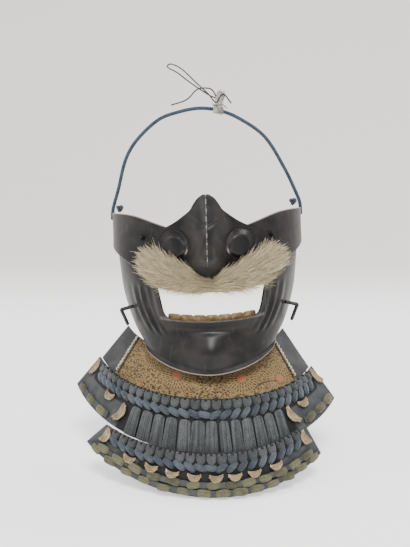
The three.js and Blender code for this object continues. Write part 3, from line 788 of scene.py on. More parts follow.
# ---------- the mask ----------
@dataclass
class FaceForm:
    """The mask's own shape: cross sections from the ear tips to the chin, and the hammered relief."""

    sections: Table = Table(
        (-0.25, 0, 0.22, 0.45, 0.66, 0.84, 1),
        {
            "half_width": (83, 82, 80.5, 77.5, 73.5, 65, 54),
            "rear_y": (2, 0, -3, -8, -18, -38, -60),
            "rear_z": (22, 0, -21, -43, -64, -84, -95),
            "front_y": (-78, -82, -89, -95, -95, -99, -104),
            "front_z": (31, 2, -24, -50, -74, -95, -114),
            "full": (1.8, 1.8, 1.9, 2, 2, 1.9, 1.85),
        },
    )
    top_edge: Table = Table((0, 0.25, 0.57, 1), {"level": (0.05, 0.01, -0.055, 0)})
    lean: float = -1.8
    fold_side: tuple[float, float] = (82, -27)
    fold_fall: float = 0.3
    fold_height: float = 3
    fold_reach: float = 16
    fold_undercut: float = 1.6
    wrinkle_x: float = 56
    wrinkle_bend: float = 0.009
    wrinkle_z: tuple[float, float] = (-46, -88)
    wrinkle_pitch: float = 6.5
    wrinkle_height: float = 1
    mouth_x: float = 2.3
    mouth_z: tuple[float, float] = (-46, -71.5)
    mouth_half: tuple[float, float] = (45, 40.5)
    mouth_corner: float = 9
    lip: float = 1.3
    chin: tuple[float, float, float] = (-97, 13, 7.5)
    crease: tuple[float, float, float] = (-80, 22, 2)
    rim_flare: float = 2.2

    def base(self, u: Array, level: Array) -> Array:
        """The face before its relief: u from one rear edge (-1) to the other (1), level down."""
        turn = np.clip(u, -1, 1) * math.pi / 2
        power = 2 / self.sections.read("full", level)
        forward = np.maximum(np.cos(turn), 0) ** power
        side = np.sign(u) * np.abs(np.sin(turn)) ** power
        x = self.sections.read("half_width", level) * side
        y = lerp(self.sections.read("rear_y", level), self.sections.read("front_y", level), forward)
        z = lerp(self.sections.read("rear_z", level), self.sections.read("front_z", level), forward)
        return xyz(x, y, z)

    def turn_at(self, x: Array, level: Array) -> Array:
        """The u at which the section at a level reaches x."""
        power = 2 / self.sections.read("full", level)
        side = np.minimum(np.abs(x) / self.sections.read("half_width", level), 1)
        return np.sign(x) * np.arcsin(side ** (1 / power)) * 2 / math.pi

    def spot(self, x: Array, z: Array) -> tuple[Array, Array]:
        """The u and level of the face at a place seen from the front."""
        level = np.full(np.broadcast(x, z).shape, 0.5)
        for _ in range(14):
            level = np.clip(level + (self.base(self.turn_at(x, level), level)[..., 2] - z) / 125, -0.25, 1)
        return self.turn_at(x, level), level

    def lips(self, x: Array, z: Array) -> Array:
        """How near a place is to the mouth's edge, from 0 to 1."""
        top, bottom = self.mouth_z
        share = np.clip((top - z) / (top - bottom), 0, 1)
        out_x = np.maximum(np.abs(x - self.mouth_x) - lerp(*self.mouth_half, share), 0)
        out_z = np.maximum(np.maximum(z - top, bottom - z), 0)
        return np.hypot(out_x, out_z)

    def relief(self, x: Array, z: Array, level: Array) -> Array:
        """How far the hammered relief stands out from the plain face."""
        side = np.abs(x)
        above = z - (self.fold_side[1] - (self.fold_side[0] - side) * self.fold_fall)
        over = smoothstep(above, -1.5, 1.5)
        cheek = over * self.fold_height * np.exp(-np.maximum(above, 0) / self.fold_reach)
        cheek = cheek - (1 - over) * self.fold_undercut * np.exp(np.minimum(above, 0) / self.fold_reach)
        beside = side - (self.wrinkle_x - self.wrinkle_bend * np.maximum(-z - 46, 0) ** 2)
        top, bottom = self.wrinkle_z
        along = smoothstep(-z, -top, 8 - top) * smoothstep(z, bottom, bottom + 12)
        wave = np.cos(2 * math.pi * beside / self.wrinkle_pitch)
        folds = self.wrinkle_height * wave * hill(beside, 8) * along
        chin_z, chin_reach, chin_height = self.chin
        chin = chin_height * hill(np.hypot(x, z - chin_z), chin_reach)
        crease_z, crease_half, crease_depth = self.crease
        crease = crease_depth * hill(z - crease_z, 3) * hill(x, crease_half)
        rim = self.rim_flare * smoothstep(level, 0.955, 1)
        lip = self.lip * hill(self.lips(x, z), 4)
        return cheek * smoothstep(side, 30, 50) + folds + chin - crease + rim + lip

    def face(self, u: Array, level: Array) -> Array:
        """The hammered face."""
        base = self.base(u, level)
        relief = self.relief(base[..., 0], base[..., 2], level)
        return base + normal_at(self.base, u, level) * relief[..., None]

    def leaning(self, points: Array) -> Array:
        """Points of the mask, turned to the lean that it has on its throat guard."""
        turn = math.radians(self.lean)
        x, y, z = points[..., 0], points[..., 1], points[..., 2]
        return xyz(x * math.cos(turn) + z * math.sin(turn), y, z * math.cos(turn) - x * math.sin(turn))


@dataclass
class FacePlate:
    """The iron face plate with its mouth cut out."""

    form: FaceForm
    thickness: float = 1.6
    grid: tuple[int, int] = (200, 120)

    def _place(self, a: Array, b: Array) -> tuple[Array, Array]:
        """The u and level of a place on the plate."""
        u = lerp(-1.0, 1.0, a)
        return u, lerp(self.form.top_edge.read("level", np.abs(u)), 1, b)

    def _face(self, a: Array, b: Array) -> Array:
        """The plate's outer face."""
        return self.form.leaning(self.form.face(*self._place(a, b)))

    def _wear(self, a: Array, b: Array) -> Array:
        """Where the lacquer is rubbed through at the rims and the lips, and a painted highlight line along
        the cheek fold.
        """
        u, level = self._place(a, b)
        base = self.form.base(u, level)
        x, z = base[..., 0], base[..., 2]
        side = np.abs(x)
        above = z - (self.form.fold_side[1] - (self.form.fold_side[0] - side) * self.form.fold_fall)
        # Painted highlight: a light line along the cheek fold.
        fold_highlight = hill(above - 0.5, 1.6) * smoothstep(side, 62, 76) * 0.6
        lower_lip = hill(self.form.lips(x, z) - 0.4, 1.0) * smoothstep(-z, 66, 71) * 0.5
        rim = np.maximum(hill(b * 125, 0.8), hill((1 - b) * 125, 1.1)) * 0.9
        ears = hill((1 - np.abs(u)) * 80, 1.2) * 0.6
        return np.max([fold_highlight, lower_lip, rim, ears], axis=0)

    def _stain_and_shade(self, a: Array, b: Array) -> Array:
        """Dark patches beside the nose plate's fastenings, and painted shade in the band under the lower lip.
        """
        base = self.form.base(*self._place(a, b))
        x, z = base[..., 0], base[..., 2]
        left = hill(np.hypot((x + 50) / 13, (z + 8) / 9), 0.9)
        right = hill(np.hypot((x - 54) / 12, (z + 10) / 7), 0.9)
        # Painted shade in the hollow band under the lower lip.
        lip = 0.55 * hill(z + 75.5, 3.2) * hill(x, 30)
        return np.max([left, right, lip], axis=0)

    def _cut_mouth(self, bm: bmesh.types.BMesh) -> None:
        """Cuts the mouth out of the sheet along its outline."""
        form = self.form
        bm.normal_update()
        (top, bottom), (wide, narrow), corner = form.mouth_z, form.mouth_half, form.mouth_corner
        turns = [lerp(0.0, math.pi / 2, k / 4) for k in range(5)]
        bend = [
            (narrow - corner + corner * math.cos(t), bottom + corner - corner * math.sin(t)) for t in turns
        ]
        right = [(wide, top), *bend]
        left = [(form.mouth_x - x, z) for x, z in reversed(right)]
        outline = [(form.mouth_x + x, z) for x, z in right] + left
        ring = form.leaning(np.array([(x, -95.0, z) for x, z in outline])) * MM
        middle = Vector(ring.mean(axis=0))
        legs = []
        for start, end in zip(ring, np.roll(ring, -1, axis=0)):
            along = Vector(end - start).normalized()
            out = along.cross(Vector((0, 1, 0)))
            out = out if out.dot(middle - Vector(start)) < 0 else -out
            legs.append((Vector(start), out))
        reach = 0.058
        for start, out in legs:
            near = [
                f for f in bm.faces
                if (f.calc_center_median() - middle).length < reach and f.normal.y < 0
            ]
            parts = {*near, *(e for f in near for e in f.edges), *(v for f in near for v in f.verts)}
            bmesh.ops.bisect_plane(bm, geom=list(parts), plane_co=start, plane_no=out, dist=1e-6)
        inside = []
        for face in bm.faces:
            centre = face.calc_center_median()
            if centre.y < -0.058 and all((centre - start).dot(out) < 0 for start, out in legs):
                inside.append(face)
        bmesh.ops.delete(bm, geom=inside, context="FACES")

    def build(self) -> None:
        """Builds and dresses the plate."""
        bm = bent_grid(self._face, *self.grid, marks={"wear": self._wear, "stain_and_shade": self._stain_and_shade})
        self._cut_mouth(bm)
        Finish.RUSSET.on(wall(finish_piece("face_shell", bm), self.thickness, 0.5), "face_plate")


@dataclass
class NosePlate:
    """The nose plate, which fits over the face plate and is pinned beside the nose."""

    form: FaceForm
    sections: Table = Table(
        (-0.235, -0.21, -0.17, -0.12, -0.05, 0, 0.06, 0.16, 0.22, 0.29, 0.35),
        {
            "half_width": (2, 6, 9.5, 13, 22, 31, 44, 50, 49, 44, 38),
            "rise": (7, 9.5, 13, 18, 24, 27, 29, 31, 24, 10, 2),
            "spread": (12, 14, 16, 18, 20, 21, 21, 21, 20, 18, 16),
        },
    )
    nostril: tuple[float, float] = (25.5, -12)
    nostril_reach: tuple[float, float] = (6.5, 12)
    nostril_height: float = 5
    wrinkle: tuple[float, float, float, float] = (7, 0.3, 17, 1.3)
    pin: tuple[float, float] = (51.5, -9)
    clearance: float = 0.35
    thickness: float = 1.6
    grid: tuple[int, int] = (130, 110)

    def _place(self, a: Array, b: Array) -> tuple[Array, Array, Array]:
        """The x, u and level of a place on the plate."""
        level = lerp(self.sections.at[0], self.sections.at[-1], b)
        x = self.sections.read("half_width", level) * lerp(-1.0, 1.0, a)
        return x, self.form.turn_at(x, level), level

    def _face(self, a: Array, b: Array) -> Array:
        """The plate's outer face."""
        x, u, level = self._place(a, b)
        base = self.form.base(u, level)
        out = normal_at(self.form.base, u, level)
        z = base[..., 2]
        cheek = np.maximum(self.form.relief(base[..., 0], z, level), 0)
        across = np.clip(np.abs(x) / self.sections.read("spread", level), 0, 1)
        ridge = self.sections.read("rise", level) * (1 - across**1.6) ** 1.7
        far = np.hypot(np.abs(x) - self.nostril[0], z - self.nostril[1])
        wing = self.nostril_height * (1 - smoothstep(far, *self.nostril_reach))
        ring = 1.1 * hill(far - 11.6, 1.1) * smoothstep(z - self.nostril[1], -9, 2)
        start, slope, reach, depth = self.wrinkle
        bend = depth * hill(z - start - slope * np.abs(x), 1.6) * hill(x, reach)
        crest = 0.5 * hill(x, 1.0)
        base = base + xyz(0.0, -(ridge + wing + crest - bend - ring), 0.0)
        shifted = base + out * (cheek + self.clearance + self.thickness)[..., None]
        return self.form.leaning(shifted)

    def _wear(self, a: Array, b: Array) -> Array:
        """The rubbed ridge, its cross wrinkle and the plate's own edges, and a painted highlight in the
        crease beside each nostril wing.
        """
        x, u, level = self._place(a, b)
        z = self.form.base(u, level)[..., 2]
        patchy = 0.62 + 0.2 * np.sin(z * 1.1) + 0.14 * np.sin(z * 2.7 + 1)
        ridge = hill(x - 0.12 * np.sin(z * 0.8), 0.5) * smoothstep(z, -27, -18) * patchy
        bend = hill(z - self.wrinkle[0] - 1 - 0.35 * np.abs(x), 0.7) * hill(x, 6) * 0.5
        ends = hill(np.minimum(a, 1 - a) * 90, 0.7) * 0.35
        rim = np.max([hill(b * 75, 0.7), hill((1 - b) * 75, 0.6) * 0.5, ends], axis=0)
        far = np.hypot(np.abs(x) - self.nostril[0], z - self.nostril[1])
        # Painted highlight in the crease between each nostril wing and the nose.
        glint = hill(far - 10.2, 0.7) * hill(np.abs(x) - 16.5, 3.0) * hill(z + 15, 4.5) * 0.9
        return np.max([ridge, bend, rim * 0.8, glint], axis=0)

    def _stain_and_shade(self, a: Array, b: Array) -> Array:
        """Dark patches by the pins, painted shade in the groove round each nostril wing and painted shade
        under the tip of the nose.
        """
        x, u, level = self._place(a, b)
        z = self.form.base(u, level)[..., 2]
        side = hill(np.hypot((np.abs(x) - 44) / 9, (z + 8) / 9), 0.9)
        far = np.hypot(np.abs(x) - self.nostril[0], z - self.nostril[1])
        # Painted shade in the groove round each nostril wing.
        ring = 0.6 * hill(far - 12.2, 1.2)
        # Painted shade under the tip of the nose.
        under = hill(np.hypot(x / 17, (z + 28) / 8), 1) * 0.95
        return np.max([side, ring, under], axis=0)

    def build(self) -> None:
        """Builds and dresses the plate and its pins."""
        bm = bent_grid(self._face, *self.grid, marks={"wear": self._wear, "stain_and_shade": self._stain_and_shade})
        Finish.RUSSET.on(wall(finish_piece("nose_shell", bm), self.thickness, 0.4), "nose_plate")
        for side, way in (("left", -1), ("right", 1)):
            low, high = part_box(f"nose_pin_{side}")
            u, level = self.form.spot(np.array([way * self.pin[0]]), np.array([self.pin[1]]))
            out = self.form.leaning(normal_at(self.form.face, u, level))[0]
            start = (np.array(low) + np.array(high)) / 2 / MM - out * 1.9
            path = start + out * np.linspace(0, 3.9, 6)[:, None]
            pin = strands(f"pin_{side}", [path], np.array([2.3, 2.2, 2.1, 2.0, 1.8, 1.2]), 8)
            Finish.IRON.on(pin, f"nose_pin_{side}")


@dataclass
class Moustache:
    """Two wings of bristly hair that sweep outwards from under the nose."""

    form: FaceForm
    middle: Table = Table((0, 0.35, 0.75, 1), {"z": (-42, -38.5, -33.5, -31), "half": (5.5, 9.5, 12, 6.5)})
    x: float = 2.5
    reach: float = 56
    stand_off: float = 3.0
    hairs: int = 4600
    points: int = 5
    seed: int = 11

    def _spot(self, t: Array, row: Array) -> tuple[Array, Array]:
        """The face's u and level at a place on the moustache."""
        side = np.abs(t)
        z = self.middle.read("z", side) + row * self.middle.read("half", side)
        return self.form.spot(self.x + self.reach * t, z)

    def _skin(self, t: Array, row: Array, lift: Array) -> Array:
        """Places over the face, from a grid that is measured once."""
        if not hasattr(self, "_grid"):
            ts, rows = np.meshgrid(np.linspace(-1.5, 1.5, 91), np.linspace(-2.4, 2.4, 49), indexing="ij")
            u, level = self._spot(ts, rows)
            self._grid = np.concatenate(
                [self.form.face(u, level), normal_at(self.form.base, u, level)], axis=-1
            )
        i = np.clip((t + 1.5) / 3 * 90, 0, 89.999)
        j = np.clip((row + 2.4) / 4.8 * 48, 0, 47.999)
        i0, j0 = i.astype(int), j.astype(int)
        fi, fj = (i - i0)[..., None], (j - j0)[..., None]
        grid = self._grid
        near = lerp(
            lerp(grid[i0, j0], grid[i0 + 1, j0], fi), lerp(grid[i0, j0 + 1], grid[i0 + 1, j0 + 1], fi), fj
        )
        return self.form.leaning(near[..., :3] + near[..., 3:] * lift[..., None])

    def _backing(self, a: Array, b: Array) -> Array:
        """The bed that the hairs grow from."""
        t, row = lerp(-0.93, 0.93, a), lerp(0.9, -0.9, b)
        round_off = np.sqrt(np.maximum(1 - (2 * b - 1) ** 2, 0.02)) * (1 - 0.5 * np.abs(t) ** 6)
        return self._skin(t, row, self.stand_off + 2.2 * round_off)

    def _wing(self, way: int) -> Iterable[Array]:
        """The hairs of one wing.

        Args:
            way: -1 for the left, 1 for the right.
        Returns:
            Each hair's points.
        """
        dice = np.random.default_rng(self.seed + way)
        count = self.hairs
        root = dice.random(count) ** 0.85 * 0.86 - 0.05
        row = np.clip(dice.normal(0.1, 0.48, count), -0.85, 0.95)
        long = (0.08 + 0.13 * dice.random(count)) * (1 + 0.12 * way)
        up = smoothstep(root, 0.15, 0.8)
        spread = row * (0.1 + 0.4 * dice.random(count)) + dice.normal(0, 0.2, count) + 0.3 * up
        bed = 2.0 * np.sqrt(np.maximum(1 - row**2, 0.05))
        high = self.stand_off + bed + 1.6 + 2.6 * dice.random(count)
        end = high + dice.normal(0.4, 1.9, count)
        share = np.linspace(0, 1, self.points)[None, :]
        t = way * (root[:, None] + long[:, None] * share)
        rows = row[:, None] + spread[:, None] * share**1.3
        start = (self.stand_off + bed * 0.5)[:, None]
        lift = start + (high[:, None] - start) * np.sin(np.minimum(share * 1.7, 1) * math.pi / 2)
        lift = np.maximum(lift + (end - high)[:, None] * share**2, 2.4)
        return list(self._skin(t, rows, lift))

    def build(self) -> None:
        """Builds and dresses the bed and both wings."""
        bed = finish_piece("moustache_bed", bent_grid(self._backing, 60, 12))
        Finish.HAIR.on(wall(bed, 1.0, 0), "moustache")
        taper = np.linspace(0.17, 0.05, self.points)
        for side, way in (("left", -1), ("right", 1)):
            hairs = strands(f"moustache_hair_{side}", self._wing(way), taper, 4, capped=False)
            Finish.HAIR.on(hairs, "moustache")


@dataclass
class LowerTeeth:
    """The gilt strip of lower teeth behind the mouth."""

    form: FaceForm
    count: int = 7
    half: float = 37
    top: float = -67.5
    bottom: float = -77
    notch: float = 1.2
    thickness: float = 1.6
    inset: float = 2.4

    def _face(self, a: Array, b: Array) -> Array:
        """The outer face, with rounded teeth."""
        within = np.abs((a * self.count) % 1 - 0.5) * 2
        x = self.form.mouth_x + lerp(-self.half, self.half, a)
        z = lerp(self.top - self.notch * within**9, self.bottom, b)
        swell = 0.45 * (1 - within**8) - 0.3
        u, level = self.form.spot(x, z)
        return self.form.leaning(lifted(self.form.base, swell - self.inset)(u, level))

    def build(self) -> None:
        """Builds and dresses the strip."""
        teeth = finish_piece("teeth_strip", bent_grid(self._face, self.count * 14, 8))
        Finish.GILT.on(wall(teeth, self.thickness, 0.25), "lower_teeth")


@dataclass
class CordHooks:
    """The bent iron pegs at the jaw that the tying cord is wound on."""

    form: FaceForm
    x: float = 65
    z: float = -70
    radius: float = 1.5
    out: float = 9
    drop: float = 13.5

    def build(self) -> None:
        """Builds and dresses both hooks."""
        for side, way in (("left", -1), ("right", 1)):
            u, level = self.form.spot(np.array([way * self.x]), np.array([self.z]))
            normal = normal_at(self.form.face, u, level)[0]
            root = lifted(self.form.face, 0.35)(u, level)[0]
            away = np.array([normal[0], normal[1] * 0.4, -0.2])
            away /= np.linalg.norm(away)
            elbow = root + away * self.out
            near = root + away * (self.out - 2.5)
            below = elbow + np.array([-way * 0.9, 0, -2.5])
            tip = elbow + np.array([-way * 5, 0, -self.drop])
            line = self.form.leaning(smooth_route([root, near, elbow, below, tip], 22))
            radii = np.full(len(line), self.radius)
            radii[-1] *= 0.75
            Finish.IRON.on(strands(f"hook_{side}", [line], radii, 10), f"cord_hook_{side}")


# ---------- the throat guard ----------
@dataclass(frozen=True)
class Edge:
    """A round arc from a left end over the front to a right end."""

    left: tuple[float, float, float]
    front: tuple[float, float, float]
    right: tuple[float, float, float]
    sweep: float = math.radians(66)

    def at(self, u: Array) -> Array:
        """Points of the arc, u from its left end (-1) round the front (0) to its right end (1)."""
        end = np.where((u < 0)[..., None], np.array(self.left), np.array(self.right))
        turn = np.abs(np.clip(u, -1, 1)) * self.sweep
        forward = (np.cos(turn) - math.cos(self.sweep)) / (1 - math.cos(self.sweep))
        side = np.sin(turn) / math.sin(self.sweep)
        x = lerp(self.front[0], end[..., 0], side)
        y = lerp(end[..., 1], self.front[1], forward)
        return xyz(x, y, lerp(end[..., 2], self.front[2], forward))


@dataclass(frozen=True)
class Lame:
    """The ruled surface between two edges, with v from its top (0) to its bottom (1)."""

    top: Edge
    bottom: Edge

    def at(self, u: Array, v: Array) -> Array:
        """Points of the surface."""
        return lerp(self.top.at(u), self.bottom.at(u), np.asarray(v)[..., None])

    def window(self, u: tuple[float, float], v: tuple[float, float], lift: float = 0) -> Form:
        """A part of the surface, as a form over a and b from 0 to 1."""
        form = lifted(self.at, lift)
        return lambda a, b: form(lerp(*u, a), lerp(*v, b))

    def along(self, v: float, half: float, pitch: float) -> Array:
        """Evenly spaced places along the surface at a height."""
        u = np.linspace(-half, half, 300)
        line = self.at(u, np.full(300, v))
        run = np.concatenate([[0], np.cumsum(np.linalg.norm(np.diff(line, axis=0), axis=1))])
        count = max(int(round(run[-1] / pitch)), 2)
        return np.interp((np.arange(count) + 0.5) / count * run[-1], run, u)


COLLAR = Lame(
    Edge((-69, -22, -99), (0, -78, -106), (67, -26, -100)),
    Edge((-92, -30, -126), (3, -115.5, -133), (89, -43, -130)),
)
UPPER_LAME = Lame(
    Edge((-94, -30, -125), (3, -117, -129), (91, -45, -128)),
    Edge((-115, -32, -150), (5, -133, -168.5), (109, -66, -149)),
)
LOWER_LAME = Lame(
    Edge((-81, -108, -154.5), (5, -141, -164), (79, -110, -153), math.radians(48)),
    Edge((-98, -106, -170.5), (6, -151, -197), (93, -112, -178), math.radians(48)),
)


@dataclass
class Collar:
    """The stencilled leather collar between black flanks, edged with stitched braid."""

    surface: Lame = COLLAR
    seam: float = 0.78
    leather: float = 1.8
    stitches: int = 11

    @staticmethod
    def _crack(a: Array, b: Array) -> Array:
        """The fine crack across the collar's right part."""
        bend = 0.62 - 0.42 * smoothstep(a, 0.72, 0.99) + 0.05 * np.sin(a * 40)
        arch = 0.75 + 14 * (a - 0.80) ** 2
        upper = hill(b - bend, 0.012) * smoothstep(a, 0.8, 0.84)
        stretch = smoothstep(a, 0.7, 0.74) * smoothstep(-a, -0.9, -0.87)
        return np.maximum(upper, hill(b - arch, 0.014) * stretch)

    @staticmethod
    def _rubbed(a: Array, b: Array) -> Array:
        """The rubbed upper and lower edges of a flank."""
        return np.maximum(hill(b, 0.04), hill(1 - b, 0.04))

    def build(self) -> None:
        """Builds and dresses the panel, the flanks and the stitched edges."""
        window = self.surface.window((-self.seam, self.seam), (0, 1))
        panel = finish_piece("collar_panel", bent_grid(window, 260, 60, marks={"crack": self._crack}))
        Finish.STENCIL.on(wall(panel, self.leather, 0.3), "throat_panel")
        for side, way in (("left", -1), ("right", 1)):
            outer = sorted((way * (self.seam + 0.006), way))
            sheet = bent_grid(self.surface.window(tuple(outer), (0, 1)), 24, 24, marks={"wear": self._rubbed})
            flank = finish_piece(f"flank_{side}", sheet)
            Finish.BLACK_LEATHER.on(wall(flank, self.leather, 0.4), f"throat_flank_{side}")
            self._edge_braid(side, way)

    def _edge_braid(self, side: str, way: int) -> None:
        """One seam's cream stitches and the black thread beside them.

        Args:
            side: Its name.
            way: -1 for the left, 1 for the right.
        """
        form = lifted(self.surface.at, 0.9)
        turn = np.linspace(-2.1, 2.1, 9)
        places = (np.arange(self.stitches) + 0.5) / self.stitches * 0.9 + 0.02
        paths = []
        for v in places:
            around = way * (self.seam - 0.015 + 0.011 * np.cos(turn))
            paths.append(form(around, v + 0.026 * np.sin(turn)))
        stitches = strands(f"seam_stitches_{side}", paths, 0.55, 8)
        Finish.STITCH.on(stitches, f"edge_braid_{side}")
        v = np.linspace(0.01, 0.93, 120)
        wave = way * (self.seam - 0.034 + 0.002 * np.sin(v * 2 * math.pi * self.stitches / 0.86))
        thread = strands(f"seam_thread_{side}", [lifted(self.surface.at, 0.5)(wave, v)], 0.5, 6)
        Finish.IRON.on(thread)


@dataclass
class LacedLame:
    """A lacquered lame with studs, a row of loops, a slanted braid and cream knots."""

    name: str
    surface: Lame
    loops: tuple[float, float]
    braid: tuple[float, float]
    half: float
    tufts: tuple[tuple[float, float, float, float, float], ...]
    thickness: float = 2
    pitch: float = 8.1
    stud: float = 1.3
    lift: float = 0.5
    seed: int = 3

    def _rim(self, a: Array, b: Array) -> Array:
        """The rubbed binding round the lame."""
        return np.max([hill(1 - b, 0.035), hill(np.minimum(a, 1 - a), 0.008), 0.6 * hill(b, 0.03)], axis=0)

    def _laced(self, a: Array, b: Array) -> Array:
        """Darkened to black under and between the lacing, apart from the cloth ends and hem."""
        u = np.abs(2 * a - 1)
        laced = np.maximum(1 - smoothstep(b, 0.44, 0.5), 1 - smoothstep(u, 0.54, 0.6))
        return laced * (1 - smoothstep(u, 0.88, 0.93))

    def _loop(self) -> bpy.types.Mesh:
        """One flat loop of lacing, square above and pointed below."""
        length = (self.loops[1] - self.loops[0]) * 44 + 1.6
        mesh = cushion(self.pitch * 0.93, length, 2.3, 5, (10, 10))
        for vert in mesh.vertices:
            x, y = vert.co.x / MM, vert.co.y / MM
            low = max(-y / (length / 2), 0)
            vert.co.x = x * (1 - 0.42 * low**1.6) * MM
            vert.co.y = (y - 0.9 * low * (1 - abs(x) / self.pitch)) * MM
        return mesh

    def _link(self) -> bpy.types.Mesh:
        """One slanted link of the braid."""
        mesh = cushion(11.2, 5.6, 3.1, 2.5, (14, 8))
        for vert in mesh.vertices:
            vert.co.y += 0.5 * MM * math.sin(vert.co.x / MM / 3.4)
        return mesh

    def build(self) -> None:
        """Builds and dresses the lame and its lacing."""
        dice = np.random.default_rng(self.seed)
        window = self.surface.window((-1, 1), (0, 1))
        sheet = bent_grid(window, 150, 20, marks={"wear": self._rim, "stain_and_shade": self._laced})
        lame = finish_piece(f"{self.name}_lame", sheet)
        Finish.GROUND.on(wall(lame, self.thickness, 0.6, 3), f"lame_{self.name}")
        at = self.surface.at
        bead = bmesh.new()
        bmesh.ops.create_uvsphere(bead, u_segments=10, v_segments=7, radius=self.stud * MM)
        pattern = bpy.data.meshes.new("bead")
        bead.to_mesh(pattern)
        bead.free()
        top, bottom = self.loops
        row = self.surface.along(top, self.half + 0.03, self.pitch)
        studs = [stand_on(at, u, top - 0.022, 1.5, 0, 0.9 + 0.25 * dice.random()) for u in row]
        Finish.STUD.on(stamped(f"{self.name}_studs", pattern, studs))
        loops = [
            stand_on(at, u, (top + bottom) / 2, self.lift, dice.normal(0, 2.5), 0.97 + 0.06 * dice.random())
            for u in row
        ]
        Finish.GREY.on(stamped(f"{self.name}_loops", self._loop(), loops), f"loops_{self.name}")
        links = []
        for u in self.surface.along(sum(self.braid) / 2, self.half, self.pitch):
            way = 1 if u > 0 else -1
            turn = way * (38 + dice.normal(0, 4)) * min(1, 0.35 + abs(u) * 4)
            links.append(stand_on(at, u, sum(self.braid) / 2, self.lift, turn if way > 0 else 180 + turn))
        Finish.BLUE.on(stamped(f"{self.name}_braid", self._link(), links), f"braid_{self.name}")
        for number, (u, v, length, height, turn) in enumerate(self.tufts, 1):
            self._tuft(number, u, v, length, height, turn)

    def _tuft(self, number: int, u: float, v: float, length: float, height: float, turn: float) -> None:
        """One crossed knot or tuft of cream silk.

        Args:
            number: Its number on the lame.
            u: Place along the lame.
            v: Place down it.
            length: Its length.
            height: Its height.
            turn: Its turn in degrees.
        """
        dice = np.random.default_rng(number)
        place = np.array(stand_on(self.surface.at, u, v, 0, turn))
        share = np.linspace(-1, 1, 11)
        paths = []
        for lean in (1, -1):
            for k in range(6):
                off = k / 5
                x = share * length / 2 * (1 - 0.12 * off)
                dip = height * (0.1 + 0.7 * off) * (1 - np.abs(share) ** 2.6)
                y = height * 0.26 - dip + lean * share * height * 0.13 + 0.06 * dice.normal() * height * share
                crown = 1.1 + 0.3 * lean - 0.4 * (2 * off - 1) ** 2
                z = self.lift + 1.7 + crown * np.sqrt(np.maximum(1 - share**6, 0))
                points = xyz(x * MM, y * MM, z * MM)
                paths.append((points @ place[:3, :3].T + place[:3, 3]) / MM)
        radii = height / 9.5 * np.array([0.6] + [1.0] * 9 + [0.6])
        tuft = strands(f"cream_tuft_{self.name}_{number}", paths, radii, 6)
        Finish.CREAM.on(tuft, f"cream_knot_{self.name}_{number}")


@dataclass
class HangingBands:
    """The upright bands of parallel threads that carry the lower lame."""

    surface: Lame = UPPER_LAME
    count: int = 13
    half: float = 0.5
    span: tuple[float, float] = (0.40, 0.995)
    threads: int = 11
    cover: float = 0.84
    seed: int = 5

    def build(self) -> None:
        """Builds and dresses all the bands as one piece."""
        dice = np.random.default_rng(self.seed)
        pitch = 2 * self.half / self.count
        share = np.linspace(0, 1, 16)
        paths = []
        for k in range(self.count):
            middle = -self.half + pitch * (k + 0.5)
            wide = pitch * self.cover / 2 * (1 + dice.normal(0, 0.06))
            lean = dice.normal(0, 0.003)
            for n in range(self.threads):
                off = lerp(-1.0, 1.0, n / (self.threads - 1))
                start = self.span[0] + 0.045 * (1 - math.sqrt(max(1 - off * off, 0)))
                v = lerp(start, self.span[1] + dice.normal(0, 0.004), share)
                fan = 0.9 + 0.14 * share
                u = middle + off * wide * fan + lean * share + dice.normal(0, 0.0006)
                bulge = 1.0 + 1.5 * math.sqrt(max(1 - off * off * 0.85, 0))
                lift = bulge * (0.55 + 0.45 * np.sin(np.clip(share * 6, 0, 1) * math.pi / 2))
                lift = lift - 0.5 * smoothstep(share, 0.9, 1)
                paths.append(lifted(self.surface.at, lift + 0.25)(u, v))
        names = [f"kebiki_band_{k + 1}" for k in range(self.count)]
        Finish.KEBIKI.on(strands("hanging_bands", paths, 0.54, 6), *names)


@dataclass
class PadRow:
    """A strip of ground cloth with olive pads sewn on."""

    name: str
    surface: Lame
    v: float
    start: float
    end: float
    count: int
    length: float = 11.5
    height: float = 6.6
    thick: float = 2.8
    ground: float = 1.2
    strip: float = 0.07
    seed: int = 8

    def build(self) -> None:
        """Builds and dresses the pads and the cloth under them."""
        dice = np.random.default_rng(self.seed + self.count)
        rows = (self.v - self.strip, self.v + self.strip)
        window = self.surface.window((self.start, self.end), rows, 0.5 + self.ground)
        cloth = finish_piece(f"{self.name}_cloth", bent_grid(window, 90, 6))
        Finish.GROUND.on(wall(cloth, self.ground, 0.3), self.name)
        places = []
        for k in range(self.count):
            u = lerp(self.start, self.end, (k + 0.5) / self.count)
            v = self.v + dice.normal(0, 0.008)
            places.append(stand_on(self.surface.at, u, v, 1.5, dice.normal(0, 6), 0.88 + 0.2 * dice.random()))
        pattern = cushion(self.length, self.height, self.thick - 0.6, 3.4, (18, 12))
        Finish.OLIVE.on(stamped(f"{self.name}_tufts", pattern, places), self.name)


